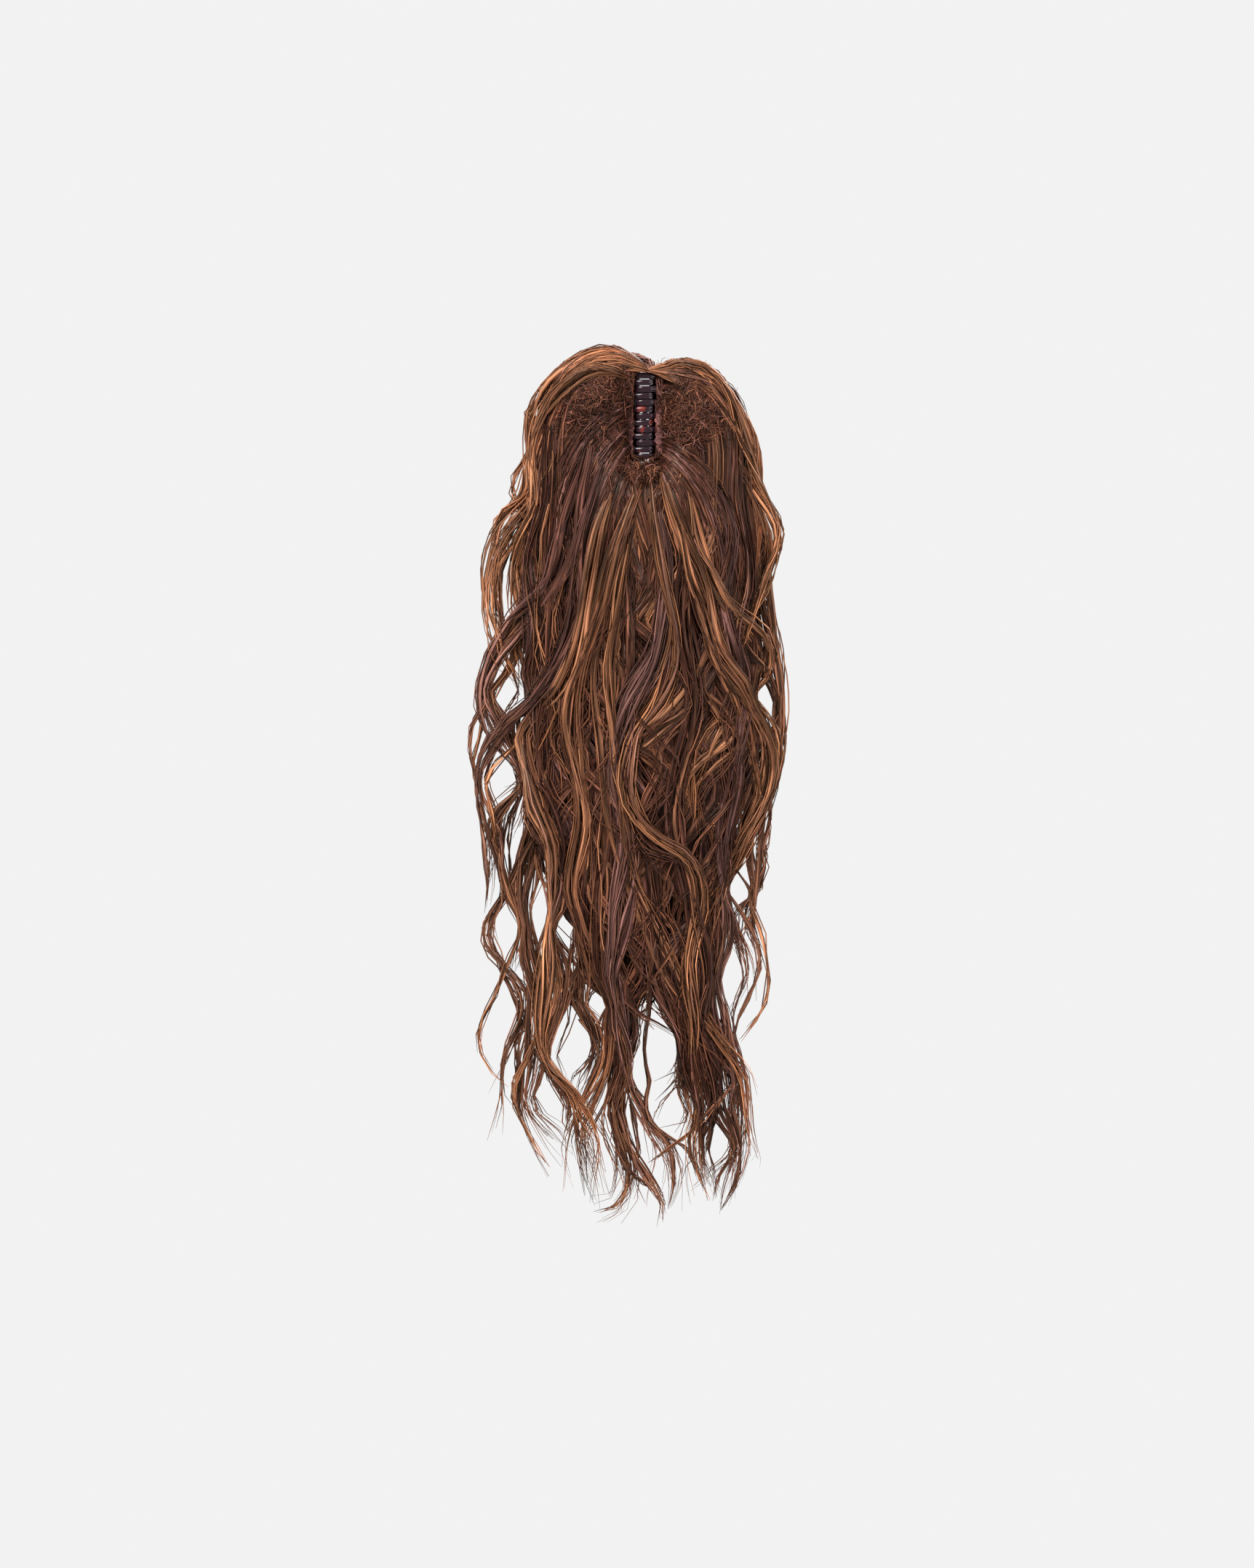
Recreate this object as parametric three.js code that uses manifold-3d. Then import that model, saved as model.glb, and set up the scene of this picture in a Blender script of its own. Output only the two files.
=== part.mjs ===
// Ponytail hairpiece on a claw clip: two sprung jaws whose teeth interlock, a net sewn over the
// outside of each jaw, and long wavy hair sewn to the nets and parted in front above the clip.
// Millimetres. +Z is up along the hanging hair, -Y is the toothed side that lies on the head and
// +X is the right of the parting. The origin is the middle of the hollow between the jaws.

import * as THREE from 'three';
import { mergeVertices } from 'three/addons/utils/BufferGeometryUtils.js';
import Module from 'manifold-3d';

const wasm = await Module();
wasm.setup();

// Claw clip
const CLIP_HEIGHT = 62;
const HOLLOW_RADIUS = 17;
const JAW_WALL = 3;
const GUM_HALF_WIDTH = 9;
const TOOTH_PITCH = 9.2;
const TOOTH_HEIGHT = 3.9;
const TOOTH_THICKNESS = 2.6;
const TOOTH_REACH = 6;
const PIN_RADIUS = 1.25;
const PIN_CLEARANCE = 0.3;
const PIN_END = 1;
const KNUCKLE_WALL = 2;
const KNUCKLE_HEIGHT = 5.7;
const KNUCKLE_GAP = 0.3;
const LEVER_LENGTH = 24;
const LEVER_THICKNESS = 2.6;
const LEVER_OFFSET = 1.5;
const LEVER_ANGLE = THREE.MathUtils.degToRad(30);
const SPRING_WIRE_RADIUS = 0.5;
const SPRING_TURNS = 4.5;
const SPRING_HALF_HEIGHT = 7;
const SPRING_LEG = 12;

// Net sewn over each jaw
const NET_WALL = 1.6;
const NET_CLEARANCE = 0.3;
const NET_BACK_EDGE = 10;

// Hair
const HALF_SPREAD = 100;
const FALL = 558;
const CROWN_COVER = 17;
const FRONT_DEPTH = 36;
const BACK_DEPTH = 32;
const LOCK_WIDTH = 15;
const LOCK_FLATNESS = 0.6;
const LAYER_STEP = 3;
const STEPS_A_TURN = 2.4;
const LOCK_SIDES = 4;
const HAIR_CLEARANCE = 0.5;
const HAIR_TOLERANCES = [0.3, 0.25, 0.2, 0.15, 0.1, 0.05];
const PIECE_GAP = 0.6;
const BACK_PARTING_ANGLE = THREE.MathUtils.degToRad(24);
const LEFT_WINDOW = 10;
const RIGHT_WINDOW = 12;
const HINGE_ROOM = 10;
const CROWN_HEM = 3;

// Where things are, from the sizes above
const jawRadius = HOLLOW_RADIUS + JAW_WALL;
const netRadius = jawRadius + NET_CLEARANCE + NET_WALL;
const boreRadius = netRadius + HAIR_CLEARANCE;
const hingeY = HOLLOW_RADIUS + JAW_WALL / 2;
const knuckleRadius = PIN_RADIUS + PIN_CLEARANCE + KNUCKLE_WALL;
const innerKnuckleBase = SPRING_HALF_HEIGHT + SPRING_WIRE_RADIUS + KNUCKLE_GAP;
const outerKnuckleBase = innerKnuckleBase + KNUCKLE_HEIGHT + KNUCKLE_GAP;
const leverHalfHeight = outerKnuckleBase + KNUCKLE_HEIGHT;
const crownTop = CLIP_HEIGHT / 2 + CROWN_COVER;
const farAway = 3 * (HALF_SPREAD + FRONT_DEPTH + BACK_DEPTH + FALL);

// Sections through the mass of hair, one row each from the crown to where it breaks into locks.
// down is a share of crownTop where negative and of FALL where positive, inner and outer are
// shares of HALF_SPREAD away from the parting, and depth is a share of FRONT_DEPTH and BACK_DEPTH.
const LEFT_SECTIONS = [
  { down: -0.97, inner: 0.12, outer: 0.36, depth: 0.22 },
  { down: -0.86, inner: 0.04, outer: 0.5, depth: 0.5 },
  { down: -0.62, inner: -0.01, outer: 0.61, depth: 0.76 },
  { down: -0.3, inner: -0.03, outer: 0.69, depth: 0.92 },
  { down: 0.03, inner: -0.05, outer: 0.74, depth: 1 },
  { down: 0.075, inner: -0.22, outer: 0.72, depth: 0.98 },
  { down: 0.14, inner: -0.35, outer: 0.82, depth: 0.92 },
  { down: 0.22, inner: -0.35, outer: 0.86, depth: 0.9 },
  { down: 0.31, inner: -0.35, outer: 0.84, depth: 0.86 },
  { down: 0.4, inner: -0.35, outer: 0.84, depth: 0.84 },
  { down: 0.5, inner: -0.3, outer: 0.82, depth: 0.76 },
  { down: 0.58, inner: -0.3, outer: 0.66, depth: 0.66 },
  { down: 0.66, inner: -0.2, outer: 0.42, depth: 0.56 },
  { down: 0.75, inner: 0.0, outer: 0.32, depth: 0.42 },
  { down: 0.82, inner: 0.12, outer: 0.26, depth: 0.2 },
];
const RIGHT_SECTIONS = [
  { down: -0.79, inner: 0.14, outer: 0.36, depth: 0.22 },
  { down: -0.68, inner: 0.05, outer: 0.47, depth: 0.5 },
  { down: -0.45, inner: -0.01, outer: 0.57, depth: 0.76 },
  { down: -0.12, inner: -0.03, outer: 0.64, depth: 0.92 },
  { down: 0.03, inner: -0.05, outer: 0.69, depth: 1 },
  { down: 0.075, inner: -0.22, outer: 0.71, depth: 0.98 },
  { down: 0.14, inner: -0.35, outer: 0.78, depth: 0.92 },
  { down: 0.22, inner: -0.35, outer: 0.78, depth: 0.9 },
  { down: 0.31, inner: -0.35, outer: 0.78, depth: 0.86 },
  { down: 0.4, inner: -0.35, outer: 0.82, depth: 0.84 },
  { down: 0.5, inner: -0.3, outer: 0.68, depth: 0.76 },
  { down: 0.58, inner: -0.3, outer: 0.56, depth: 0.66 },
  { down: 0.68, inner: -0.2, outer: 0.5, depth: 0.56 },
  { down: 0.76, inner: 0.12, outer: 0.55, depth: 0.46 },
  { down: 0.84, inner: 0.3, outer: 0.62, depth: 0.34 },
  { down: 0.91, inner: 0.5, outer: 0.6, depth: 0.14 },
];

// Locks of hair that stand out on the mass, one row each. width is a share of LOCK_WIDTH, layer
// counts the steps by which a lock lies over its neighbours, and turns are the places [across,
// down] where it bends, across as a share of HALF_SPREAD and down as in the sections.
const FRONT_LOCKS = [
  { name: 'left_outer_loop', width: 0.9, layer: 1, turns: [[-0.03, -0.66], [-0.2, -0.92],
    [-0.41, -0.82], [-0.6, -0.47], [-0.72, 0], [-0.76, 0.05], [-0.8, 0.098], [-0.98, 0.14],
    [-1.07, 0.205], [-0.99, 0.285], [-0.84, 0.335]] },
  { name: 'left_inner_sweep', width: 1, layer: 0, turns: [[-0.06, -0.5], [-0.34, -0.6],
    [-0.6, -0.18], [-0.72, 0.04], [-0.72, 0.11], [-0.86, 0.18], [-0.88, 0.24], [-0.8, 0.31]] },
  { name: 'left_cross', width: 1.1, layer: 1, turns: [[-0.36, 0.02], [-0.48, 0.12],
    [-0.62, 0.205], [-0.87, 0.253], [-1.05, 0.3], [-1.09, 0.35], [-0.97, 0.415],
    [-0.87, 0.47], [-0.9, 0.52]] },
  { name: 'left_second_cross', width: 0.8, layer: 1, turns: [[-0.26, 0.05], [-0.46, 0.17],
    [-0.5, 0.27], [-0.72, 0.34], [-0.94, 0.375], [-1.08, 0.42], [-1.08, 0.47], [-1.03, 0.52],
    [-1.04, 0.59]] },
  { name: 'left_hook', width: 1, layer: 2, turns: [[-0.13, 0.06], [-0.3, 0.13], [-0.4, 0.24],
    [-0.56, 0.335], [-0.84, 0.4], [-0.76, 0.465], [-0.61, 0.53], [-0.64, 0.61],
    [-0.68, 0.7], [-0.69, 0.775], [-0.52, 0.83], [-0.38, 0.87], [-0.37, 0.96]] },
  { name: 'left_mass', width: 1.1, layer: 0, turns: [[-0.5, 0.03], [-0.66, 0.15],
    [-0.58, 0.25], [-0.66, 0.36], [-0.68, 0.45], [-0.8, 0.54], [-0.86, 0.62], [-0.76, 0.7],
    [-0.76, 0.77], [-0.8, 0.83], [-0.7, 0.885], [-0.55, 0.92]] },
  { name: 'left_low_loop', width: 0.45, layer: 0, turns: [[-0.7, 0.5], [-0.92, 0.57],
    [-1.09, 0.635], [-0.96, 0.68], [-0.87, 0.725], [-0.95, 0.785], [-0.98, 0.84],
    [-0.89, 0.885]] },
  { name: 'left_edge', width: 0.5, layer: 0, turns: [[-0.86, 0.44], [-1.06, 0.5],
    [-1.0, 0.56], [-0.93, 0.63], [-0.95, 0.68]] },
  { name: 'centre_left', width: 1, layer: 1, turns: [[-0.01, 0.07], [-0.2, 0.165],
    [-0.32, 0.245], [-0.51, 0.36], [-0.48, 0.43], [-0.42, 0.5], [-0.48, 0.6], [-0.34, 0.685],
    [-0.26, 0.76], [-0.38, 0.83], [-0.48, 0.885], [-0.42, 0.95]] },
  { name: 'centre_long', width: 1, layer: 0, turns: [[-0.05, 0.08], [-0.15, 0.2],
    [-0.14, 0.29], [-0.23, 0.39], [-0.27, 0.52], [-0.3, 0.64], [-0.21, 0.74], [-0.15, 0.8],
    [-0.21, 0.86], [-0.12, 0.93], [-0.18, 0.967], [-0.35, 0.98]] },
  { name: 'centre_return', width: 0.9, layer: 1, turns: [[0.07, 0.08], [0.15, 0.21],
    [0.08, 0.295], [-0.1, 0.36], [-0.19, 0.44], [-0.11, 0.53], [-0.19, 0.62], [-0.22, 0.7],
    [-0.13, 0.78], [-0.06, 0.83], [0.08, 0.87], [0.18, 0.91], [0.15, 0.975]] },
  { name: 'longest', width: 0.6, layer: 0, turns: [[-0.2, 0.66], [-0.08, 0.75],
    [-0.2, 0.84], [-0.12, 0.895], [0.02, 0.935], [0.12, 0.965], [0.09, 0.998]] },
  { name: 'centre_hook', width: 0.9, layer: 2, turns: [[0.04, 0.08], [0.1, 0.18],
    [0.2, 0.27], [0.1, 0.345], [-0.09, 0.395], [-0.12, 0.465], [0.06, 0.517], [0.3, 0.548],
    [0.38, 0.595], [0.28, 0.675], [0.34, 0.75], [0.31, 0.85], [0.34, 0.92], [0.45, 0.968]] },
  { name: 'long_diagonal', width: 1.1, layer: 1, turns: [[-0.1, 0.14], [-0.24, 0.26],
    [-0.27, 0.37], [-0.14, 0.535], [-0.02, 0.605], [0.22, 0.695], [0.5, 0.765], [0.67, 0.815],
    [0.67, 0.88], [0.72, 0.92], [0.82, 0.936]] },
  { name: 'second_diagonal', width: 1, layer: 0, turns: [[0.0, 0.45], [0.05, 0.56],
    [0.12, 0.66], [0.3, 0.73], [0.44, 0.79], [0.5, 0.86], [0.57, 0.9], [0.48, 0.965]] },
  { name: 'right_long_wave', width: 1, layer: 2, turns: [[0.11, 0.06], [0.2, 0.12],
    [0.37, 0.215], [0.5, 0.29], [0.74, 0.355], [0.87, 0.41], [0.78, 0.485], [0.6, 0.55],
    [0.42, 0.605], [0.32, 0.66]] },
  { name: 'right_short_wave', width: 0.75, layer: 1, turns: [[0.28, 0.08], [0.38, 0.17],
    [0.56, 0.235], [0.82, 0.285], [0.8, 0.33], [0.5, 0.38], [0.36, 0.44], [0.37, 0.52]] },
  { name: 'right_outer_edge', width: 0.8, layer: 1, turns: [[0.06, -0.6], [0.24, -0.74],
    [0.43, -0.6], [0.58, -0.24], [0.65, 0.02], [0.75, 0.08], [0.9, 0.145], [0.85, 0.185],
    [0.7, 0.245], [0.6, 0.3]] },
  { name: 'right_second_edge', width: 0.8, layer: 0, turns: [[0.46, 0.03], [0.66, 0.08],
    [0.8, 0.16], [0.84, 0.25], [0.9, 0.33], [0.93, 0.385], [0.85, 0.46], [0.68, 0.53],
    [0.58, 0.6], [0.66, 0.665], [0.6, 0.745]] },
  { name: 'right_centre', width: 1, layer: 1, turns: [[0.18, 0.05], [0.3, 0.13],
    [0.25, 0.24], [0.33, 0.33], [0.25, 0.43], [0.2, 0.51], [0.32, 0.59], [0.4, 0.68],
    [0.36, 0.77], [0.44, 0.85], [0.4, 0.9], [0.46, 0.965]] },
  { name: 'right_mass', width: 1.1, layer: 0, turns: [[0.34, 0.05], [0.58, 0.14],
    [0.51, 0.22], [0.64, 0.32], [0.6, 0.43], [0.5, 0.53], [0.56, 0.63], [0.53, 0.73],
    [0.64, 0.82], [0.65, 0.9], [0.52, 0.973]] },
];
const BACK_LOCKS = [
  { name: 'back_left_outer', width: 1.2, layer: 0, turns: [[-0.2, -0.7], [-0.52, -0.5],
    [-0.66, 0.04], [-0.78, 0.13], [-0.82, 0.22], [-0.7, 0.31], [-0.78, 0.41], [-0.72, 0.5],
    [-0.6, 0.58], [-0.62, 0.68], [-0.52, 0.76]] },
  { name: 'back_left_middle', width: 1.2, layer: 0, turns: [[-0.24, -0.3], [-0.34, 0.06],
    [-0.5, 0.16], [-0.42, 0.26], [-0.52, 0.36], [-0.42, 0.46], [-0.48, 0.56], [-0.36, 0.66],
    [-0.4, 0.78], [-0.34, 0.86]] },
  { name: 'back_left_inner', width: 1.1, layer: 0, turns: [[-0.24, 0.07], [-0.2, 0.2],
    [-0.28, 0.31], [-0.18, 0.42], [-0.26, 0.53], [-0.18, 0.64], [-0.24, 0.76]] },
  { name: 'back_right_outer', width: 1.2, layer: 0, turns: [[0.22, -0.5], [0.48, -0.36],
    [0.6, 0.04], [0.7, 0.13], [0.66, 0.23], [0.74, 0.33], [0.7, 0.43], [0.58, 0.52],
    [0.52, 0.62], [0.54, 0.74]] },
  { name: 'back_right_middle', width: 1.2, layer: 0, turns: [[0.26, -0.2], [0.32, 0.07],
    [0.46, 0.18], [0.38, 0.29], [0.48, 0.39], [0.38, 0.49], [0.42, 0.6], [0.34, 0.72],
    [0.38, 0.84]] },
  { name: 'back_right_inner', width: 1.1, layer: 0, turns: [[0.24, 0.08], [0.18, 0.21],
    [0.26, 0.32], [0.17, 0.43], [0.24, 0.54], [0.17, 0.66], [0.26, 0.78]] },
];

// Where the right half of the hair begins, as a share of HALF_SPREAD right of the clip's middle.
// The middle tips hang from the left half, so the line steps aside below the mass.
const TIP_LINE_DOWN = 0.8;
const TIP_LINE_ACROSS = 0.235;

const plastic = new THREE.MeshStandardMaterial({ name: 'clip_plastic', color: 0x2a1a19, roughness: 0.3 });
const steel = new THREE.MeshStandardMaterial({ name: 'steel', color: 0xa9a9ac, metalness: 0.9 });
const net = new THREE.MeshStandardMaterial({ name: 'net', color: 0x5a3a38, roughness: 0.9 });
const hair = new THREE.MeshStandardMaterial({ name: 'hair', color: 0x5d3d30, roughness: 0.7 });

// A solid from a closed geometry.
const solidOf = (geometry) => {
  const bare = geometry.clone();
  bare.deleteAttribute('normal');
  bare.deleteAttribute('uv');
  const whole = mergeVertices(bare, 1e-5);
  return new wasm.Manifold(new wasm.Mesh({
    numProp: 3,
    vertProperties: new Float32Array(whole.attributes.position.array),
    triVerts: new Uint32Array(whole.index.array),
  }));
};

// A solid through rings of equally many points, closed at both ends.
const loftOf = (rings) => {
  const sides = rings[0].length;
  const points = rings.flat();
  const middleOf = (ring) => ring.reduce((sum, point) => sum.add(point), new THREE.Vector3())
    .divideScalar(sides);
  const faces = [];
  for (let row = 0; row < rings.length - 1; row += 1) {
    for (let side = 0; side < sides; side += 1) {
      const here = row * sides + side;
      const next = row * sides + ((side + 1) % sides);
      faces.push(here, next, next + sides, here, next + sides, here + sides);
    }
  }
  const first = points.length;
  const last = first + 1;
  const lastRow = (rings.length - 1) * sides;
  points.push(middleOf(rings[0]), middleOf(rings[rings.length - 1]));
  for (let side = 0; side < sides; side += 1) {
    const next = (side + 1) % sides;
    faces.push(first, next, side, last, lastRow + side, lastRow + next);
  }
  const geometry = new THREE.BufferGeometry();
  geometry.setFromPoints(points);
  geometry.setIndex(faces);
  return solidOf(geometry);
};

// A solid of one closed outline in the XY plane, standing from bottom to top.
const upright = (outline, bottom, top) => {
  const shape = new THREE.Shape(outline);
  const geometry = new THREE.ExtrudeGeometry(shape, { depth: top - bottom, bevelEnabled: false });
  geometry.translate(0, 0, bottom);
  return solidOf(geometry);
};

const roundPost = (radius, x, y, bottom, top, sides = 16) => {
  const geometry = new THREE.CylinderGeometry(radius, radius, top - bottom, sides);
  geometry.rotateX(Math.PI / 2);
  geometry.translate(x, y, (bottom + top) / 2);
  return solidOf(geometry);
};

const block = (x0, x1, y0, y1, z0, z1) => {
  const geometry = new THREE.BoxGeometry(x1 - x0, y1 - y0, z1 - z0);
  geometry.translate((x0 + x1) / 2, (y0 + y1) / 2, (z0 + z1) / 2);
  return solidOf(geometry);
};

const meshOf = (name, solid, material) => {
  const { vertProperties, triVerts } = solid.getMesh();
  const geometry = new THREE.BufferGeometry();
  geometry.setAttribute('position', new THREE.BufferAttribute(new Float32Array(vertProperties), 3));
  geometry.setIndex(new THREE.BufferAttribute(new Uint32Array(triVerts), 1));
  geometry.computeVertexNormals();
  const mesh = new THREE.Mesh(geometry, material);
  mesh.name = name;
  return mesh;
};

// The largest closed skin of a solid, without loose crumbs or bubbles sealed inside it.
const largestSkin = (solid) => {
  const { vertProperties, triVerts, numVert } = solid.getMesh();
  const parent = Array.from({ length: numVert }, (_, index) => index);
  const rootOf = (index) => {
    let root = index;
    while (parent[root] !== root) root = parent[root];
    while (parent[index] !== root) [parent[index], index] = [root, parent[index]];
    return root;
  };
  for (let face = 0; face < triVerts.length; face += 3) {
    parent[rootOf(triVerts[face + 1])] = rootOf(triVerts[face]);
    parent[rootOf(triVerts[face + 2])] = rootOf(triVerts[face]);
  }
  const skins = new Map();
  for (let face = 0; face < triVerts.length; face += 3) {
    const root = rootOf(triVerts[face]);
    if (!skins.has(root)) skins.set(root, []);
    skins.get(root).push(...triVerts.slice(face, face + 3));
  }
  const largest = [...skins.values()].sort((a, b) => b.length - a.length)[0];
  return new wasm.Manifold(new wasm.Mesh({
    numProp: 3, vertProperties, triVerts: new Uint32Array(largest),
  }));
};

// Whether two edges of a skin lie in one place, as where locks touch without joining.
const isPinched = (skin) => {
  const { vertProperties, triVerts } = skin.getMesh();
  const nameOf = (vertex) => [0, 1, 2].map((axis) => vertProperties[3 * vertex + axis].toFixed(3))
    .join();
  const uses = new Map();
  for (let face = 0; face < triVerts.length; face += 3) {
    const corners = [0, 1, 2].map((corner) => nameOf(triVerts[face + corner]));
    for (let corner = 0; corner < 3; corner += 1) {
      const edge = [corners[corner], corners[(corner + 1) % 3]].sort().join(' ');
      uses.set(edge, (uses.get(edge) ?? 0) + 1);
    }
  }
  return [...uses.values()].some((count) => count > 2);
};

// One piece of the hair as one body, with its faces no finer than they need to be.
const pieceOf = (whole, room) => {
  const piece = whole.intersect(room).asOriginal();
  const skins = HAIR_TOLERANCES.map((tolerance) => largestSkin(piece.simplify(tolerance)));
  return skins.find((skin) => !isPinched(skin)) ?? skins[0];
};

// The outline of an arc of wall round the hollow, between two turns counted from the middle of
// the front towards one side. side is -1 for the left and 1 for the right.
const arcOutline = (side, inner, outer, start, end, steps) => {
  const at = (radius, share) => {
    const turn = start + (end - start) * share;
    return new THREE.Vector2(side * radius * Math.sin(turn), -radius * Math.cos(turn));
  };
  const shares = Array.from({ length: steps + 1 }, (_, index) => index / steps);
  return [...shares.map((share) => at(outer, share)),
    ...shares.reverse().map((share) => at(inner, share))];
};

// The same, from an edge this far off the middle in front to one this far off it behind.
const wallOutline = (side, inner, outer, frontEdge, backEdge) => arcOutline(side, inner, outer,
  Math.asin(frontEdge / outer), Math.PI - Math.asin(backEdge / outer), 16);

// Heights of the teeth of one side. The right jaw has one tooth more, and the rows alternate.
const toothHeights = (side) => {
  const most = Math.max(1, Math.floor((CLIP_HEIGHT - TOOTH_HEIGHT) / TOOTH_PITCH));
  const count = side > 0 ? most + 1 : most;
  return Array.from({ length: count }, (_, index) => (index - (count - 1) / 2) * TOOTH_PITCH);
};

// One curved tooth with a round end, which reaches past the middle from its own side.
const toothAt = (side, height) => {
  const rootEdge = GUM_HALF_WIDTH + JAW_WALL;
  const half = TOOTH_HEIGHT / 2;
  const tip = TOOTH_REACH - half;
  const bar = arcOutline(side, jawRadius - TOOTH_THICKNESS, jawRadius,
    -Math.asin(TOOTH_REACH / HOLLOW_RADIUS), Math.asin(rootEdge / jawRadius), 5);
  const finger = new THREE.Shape();
  finger.moveTo(side * (rootEdge + half), -half);
  finger.lineTo(-side * tip, -half);
  finger.absarc(-side * tip, 0, half, -Math.PI / 2, Math.PI / 2, side > 0);
  finger.lineTo(side * (rootEdge + half), half);
  finger.closePath();
  const geometry = new THREE.ExtrudeGeometry(finger, {
    depth: jawRadius * 2, bevelEnabled: false, curveSegments: 5,
  });
  geometry.rotateX(Math.PI / 2);
  geometry.translate(0, 0, height);
  return upright(bar, height - half, height + half).intersect(solidOf(geometry));
};

// The four corners of a finger lever, or of the room round it where grow is more than nothing.
const leverOutline = (side, grow = 0) => {
  const along = new THREE.Vector2(side * Math.sin(LEVER_ANGLE), Math.cos(LEVER_ANGLE));
  const aside = new THREE.Vector2(side * Math.cos(LEVER_ANGLE), -Math.sin(LEVER_ANGLE));
  const corner = (off, out) => new THREE.Vector2(0, hingeY).addScaledVector(aside, off)
    .addScaledVector(along, out);
  const near = LEVER_OFFSET - grow;
  const far = LEVER_OFFSET + LEVER_THICKNESS + grow;
  return [corner(near, 0), corner(far, 0), corner(far, LEVER_LENGTH + grow),
    corner(near, LEVER_LENGTH + grow)];
};

// One jaw with its teeth, finger lever and two knuckles. The left jaw has the outer knuckles.
const jawOf = (side) => {
  const half = CLIP_HEIGHT / 2;
  const wall = wallOutline(side, HOLLOW_RADIUS, jawRadius, GUM_HALF_WIDTH, PIECE_GAP);
  let jaw = upright(wall, -half, half);
  for (const height of toothHeights(side)) {
    jaw = jaw.add(toothAt(side, height));
  }
  jaw = jaw.add(upright(leverOutline(side), -leverHalfHeight, leverHalfHeight));
  const room = knuckleRadius + PIN_CLEARANCE;
  jaw = jaw.subtract(roundPost(room, 0, hingeY, -half - 1, half + 1));
  const base = side < 0 ? outerKnuckleBase : innerKnuckleBase;
  const reach = room + JAW_WALL / 2;
  for (const bottom of [base, -base - KNUCKLE_HEIGHT]) {
    const top = bottom + KNUCKLE_HEIGHT;
    const ring = roundPost(knuckleRadius, 0, hingeY, bottom, top);
    const bridge = block(Math.min(0, side * reach), Math.max(0, side * reach),
      hingeY - JAW_WALL / 2, hingeY + JAW_WALL / 2, bottom, top);
    jaw = jaw.add(ring).add(bridge);
  }
  return jaw.subtract(roundPost(PIN_RADIUS + PIN_CLEARANCE, 0, hingeY, -half - 1, half + 1));
};

const hingePin = () => {
  const end = leverHalfHeight + PIN_END;
  return roundPost(PIN_RADIUS, 0, hingeY, -end, end, 16);
};

// The coil round the pin, with one leg along the inside of the left lever.
const hingeSpring = () => {
  const radius = PIN_RADIUS + PIN_CLEARANCE + SPRING_WIRE_RADIUS;
  const legOffset = LEVER_OFFSET - SPRING_WIRE_RADIUS - PIN_CLEARANCE;
  const start = LEVER_ANGLE + Math.asin(legOffset / radius);
  const points = [];
  const steps = Math.round(SPRING_TURNS * 8);
  for (let step = 0; step <= steps; step += 1) {
    const turn = start + (step / steps) * SPRING_TURNS * 2 * Math.PI;
    points.push(new THREE.Vector3(-radius * Math.sin(turn), hingeY + radius * Math.cos(turn),
      SPRING_HALF_HEIGHT * (1 - (2 * step) / steps)));
  }
  const leg = new THREE.Vector3(-Math.sin(LEVER_ANGLE), Math.cos(LEVER_ANGLE), 0);
  points.unshift(points[0].clone().addScaledVector(leg, SPRING_LEG));
  return loftOf(ringsAlong(points, () => SPRING_WIRE_RADIUS, () => SPRING_WIRE_RADIUS, 5));
};

const netOf = (side) => {
  const frontEdge = GUM_HALF_WIDTH + NET_CLEARANCE;
  const wall = wallOutline(side, jawRadius + NET_CLEARANCE, netRadius, frontEdge, NET_BACK_EDGE);
  return upright(wall, -CLIP_HEIGHT / 2, CLIP_HEIGHT / 2);
};

// Rings of an oval section square to a route, half wide across it and half thick off the hair.
const ringsAlong = (points, halfWidth, halfThickness, sides) => points.map((point, index) => {
  const before = points[Math.max(0, index - 1)];
  const after = points[Math.min(points.length - 1, index + 1)];
  const along = after.clone().sub(before).normalize();
  const level = Math.abs(along.y) > 0.9 ? new THREE.Vector3(0, 0, 1) : new THREE.Vector3(0, 1, 0);
  const aside = along.clone().cross(level).normalize();
  const off = along.clone().cross(aside).normalize();
  const share = index / (points.length - 1);
  return Array.from({ length: sides }, (_, side) => {
    const turn = ((side + 0.5) / sides) * 2 * Math.PI;
    return point.clone().addScaledVector(aside, halfWidth(share) * Math.cos(turn))
      .addScaledVector(off, halfThickness(share) * Math.sin(turn));
  });
});

const heightOf = (down) => (down < 0 ? -down * crownTop : -down * FALL);

// The width, middle and depth of one half of the mass at a height, between its section rows.
const sectionAt = (sections, height) => {
  const heights = sections.map((row) => heightOf(row.down));
  let row = heights.findIndex((value) => value <= height);
  if (row < 0) row = sections.length - 1;
  row = Math.max(1, row);
  const reach = (height - heights[row - 1]) / (heights[row] - heights[row - 1]);
  const share = THREE.MathUtils.clamp(reach, 0, 1);
  const mix = (key) => THREE.MathUtils.lerp(sections[row - 1][key], sections[row][key], share);
  return { inner: mix('inner'), outer: mix('outer'), depth: mix('depth') };
};

// How far the mass reaches in front of or behind its middle, as a share of its full depth.
const depthShare = (x, height) => {
  const shares = [[LEFT_SECTIONS, -1], [RIGHT_SECTIONS, 1]].map(([sections, side]) => {
    const { inner, outer, depth } = sectionAt(sections, height);
    const middle = side * ((inner + outer) / 2) * HALF_SPREAD;
    const half = ((outer - inner) / 2) * HALF_SPREAD;
    return depth * Math.sqrt(Math.max(0, 1 - ((x - middle) / half) ** 2));
  });
  return Math.max(...shares);
};

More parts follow.
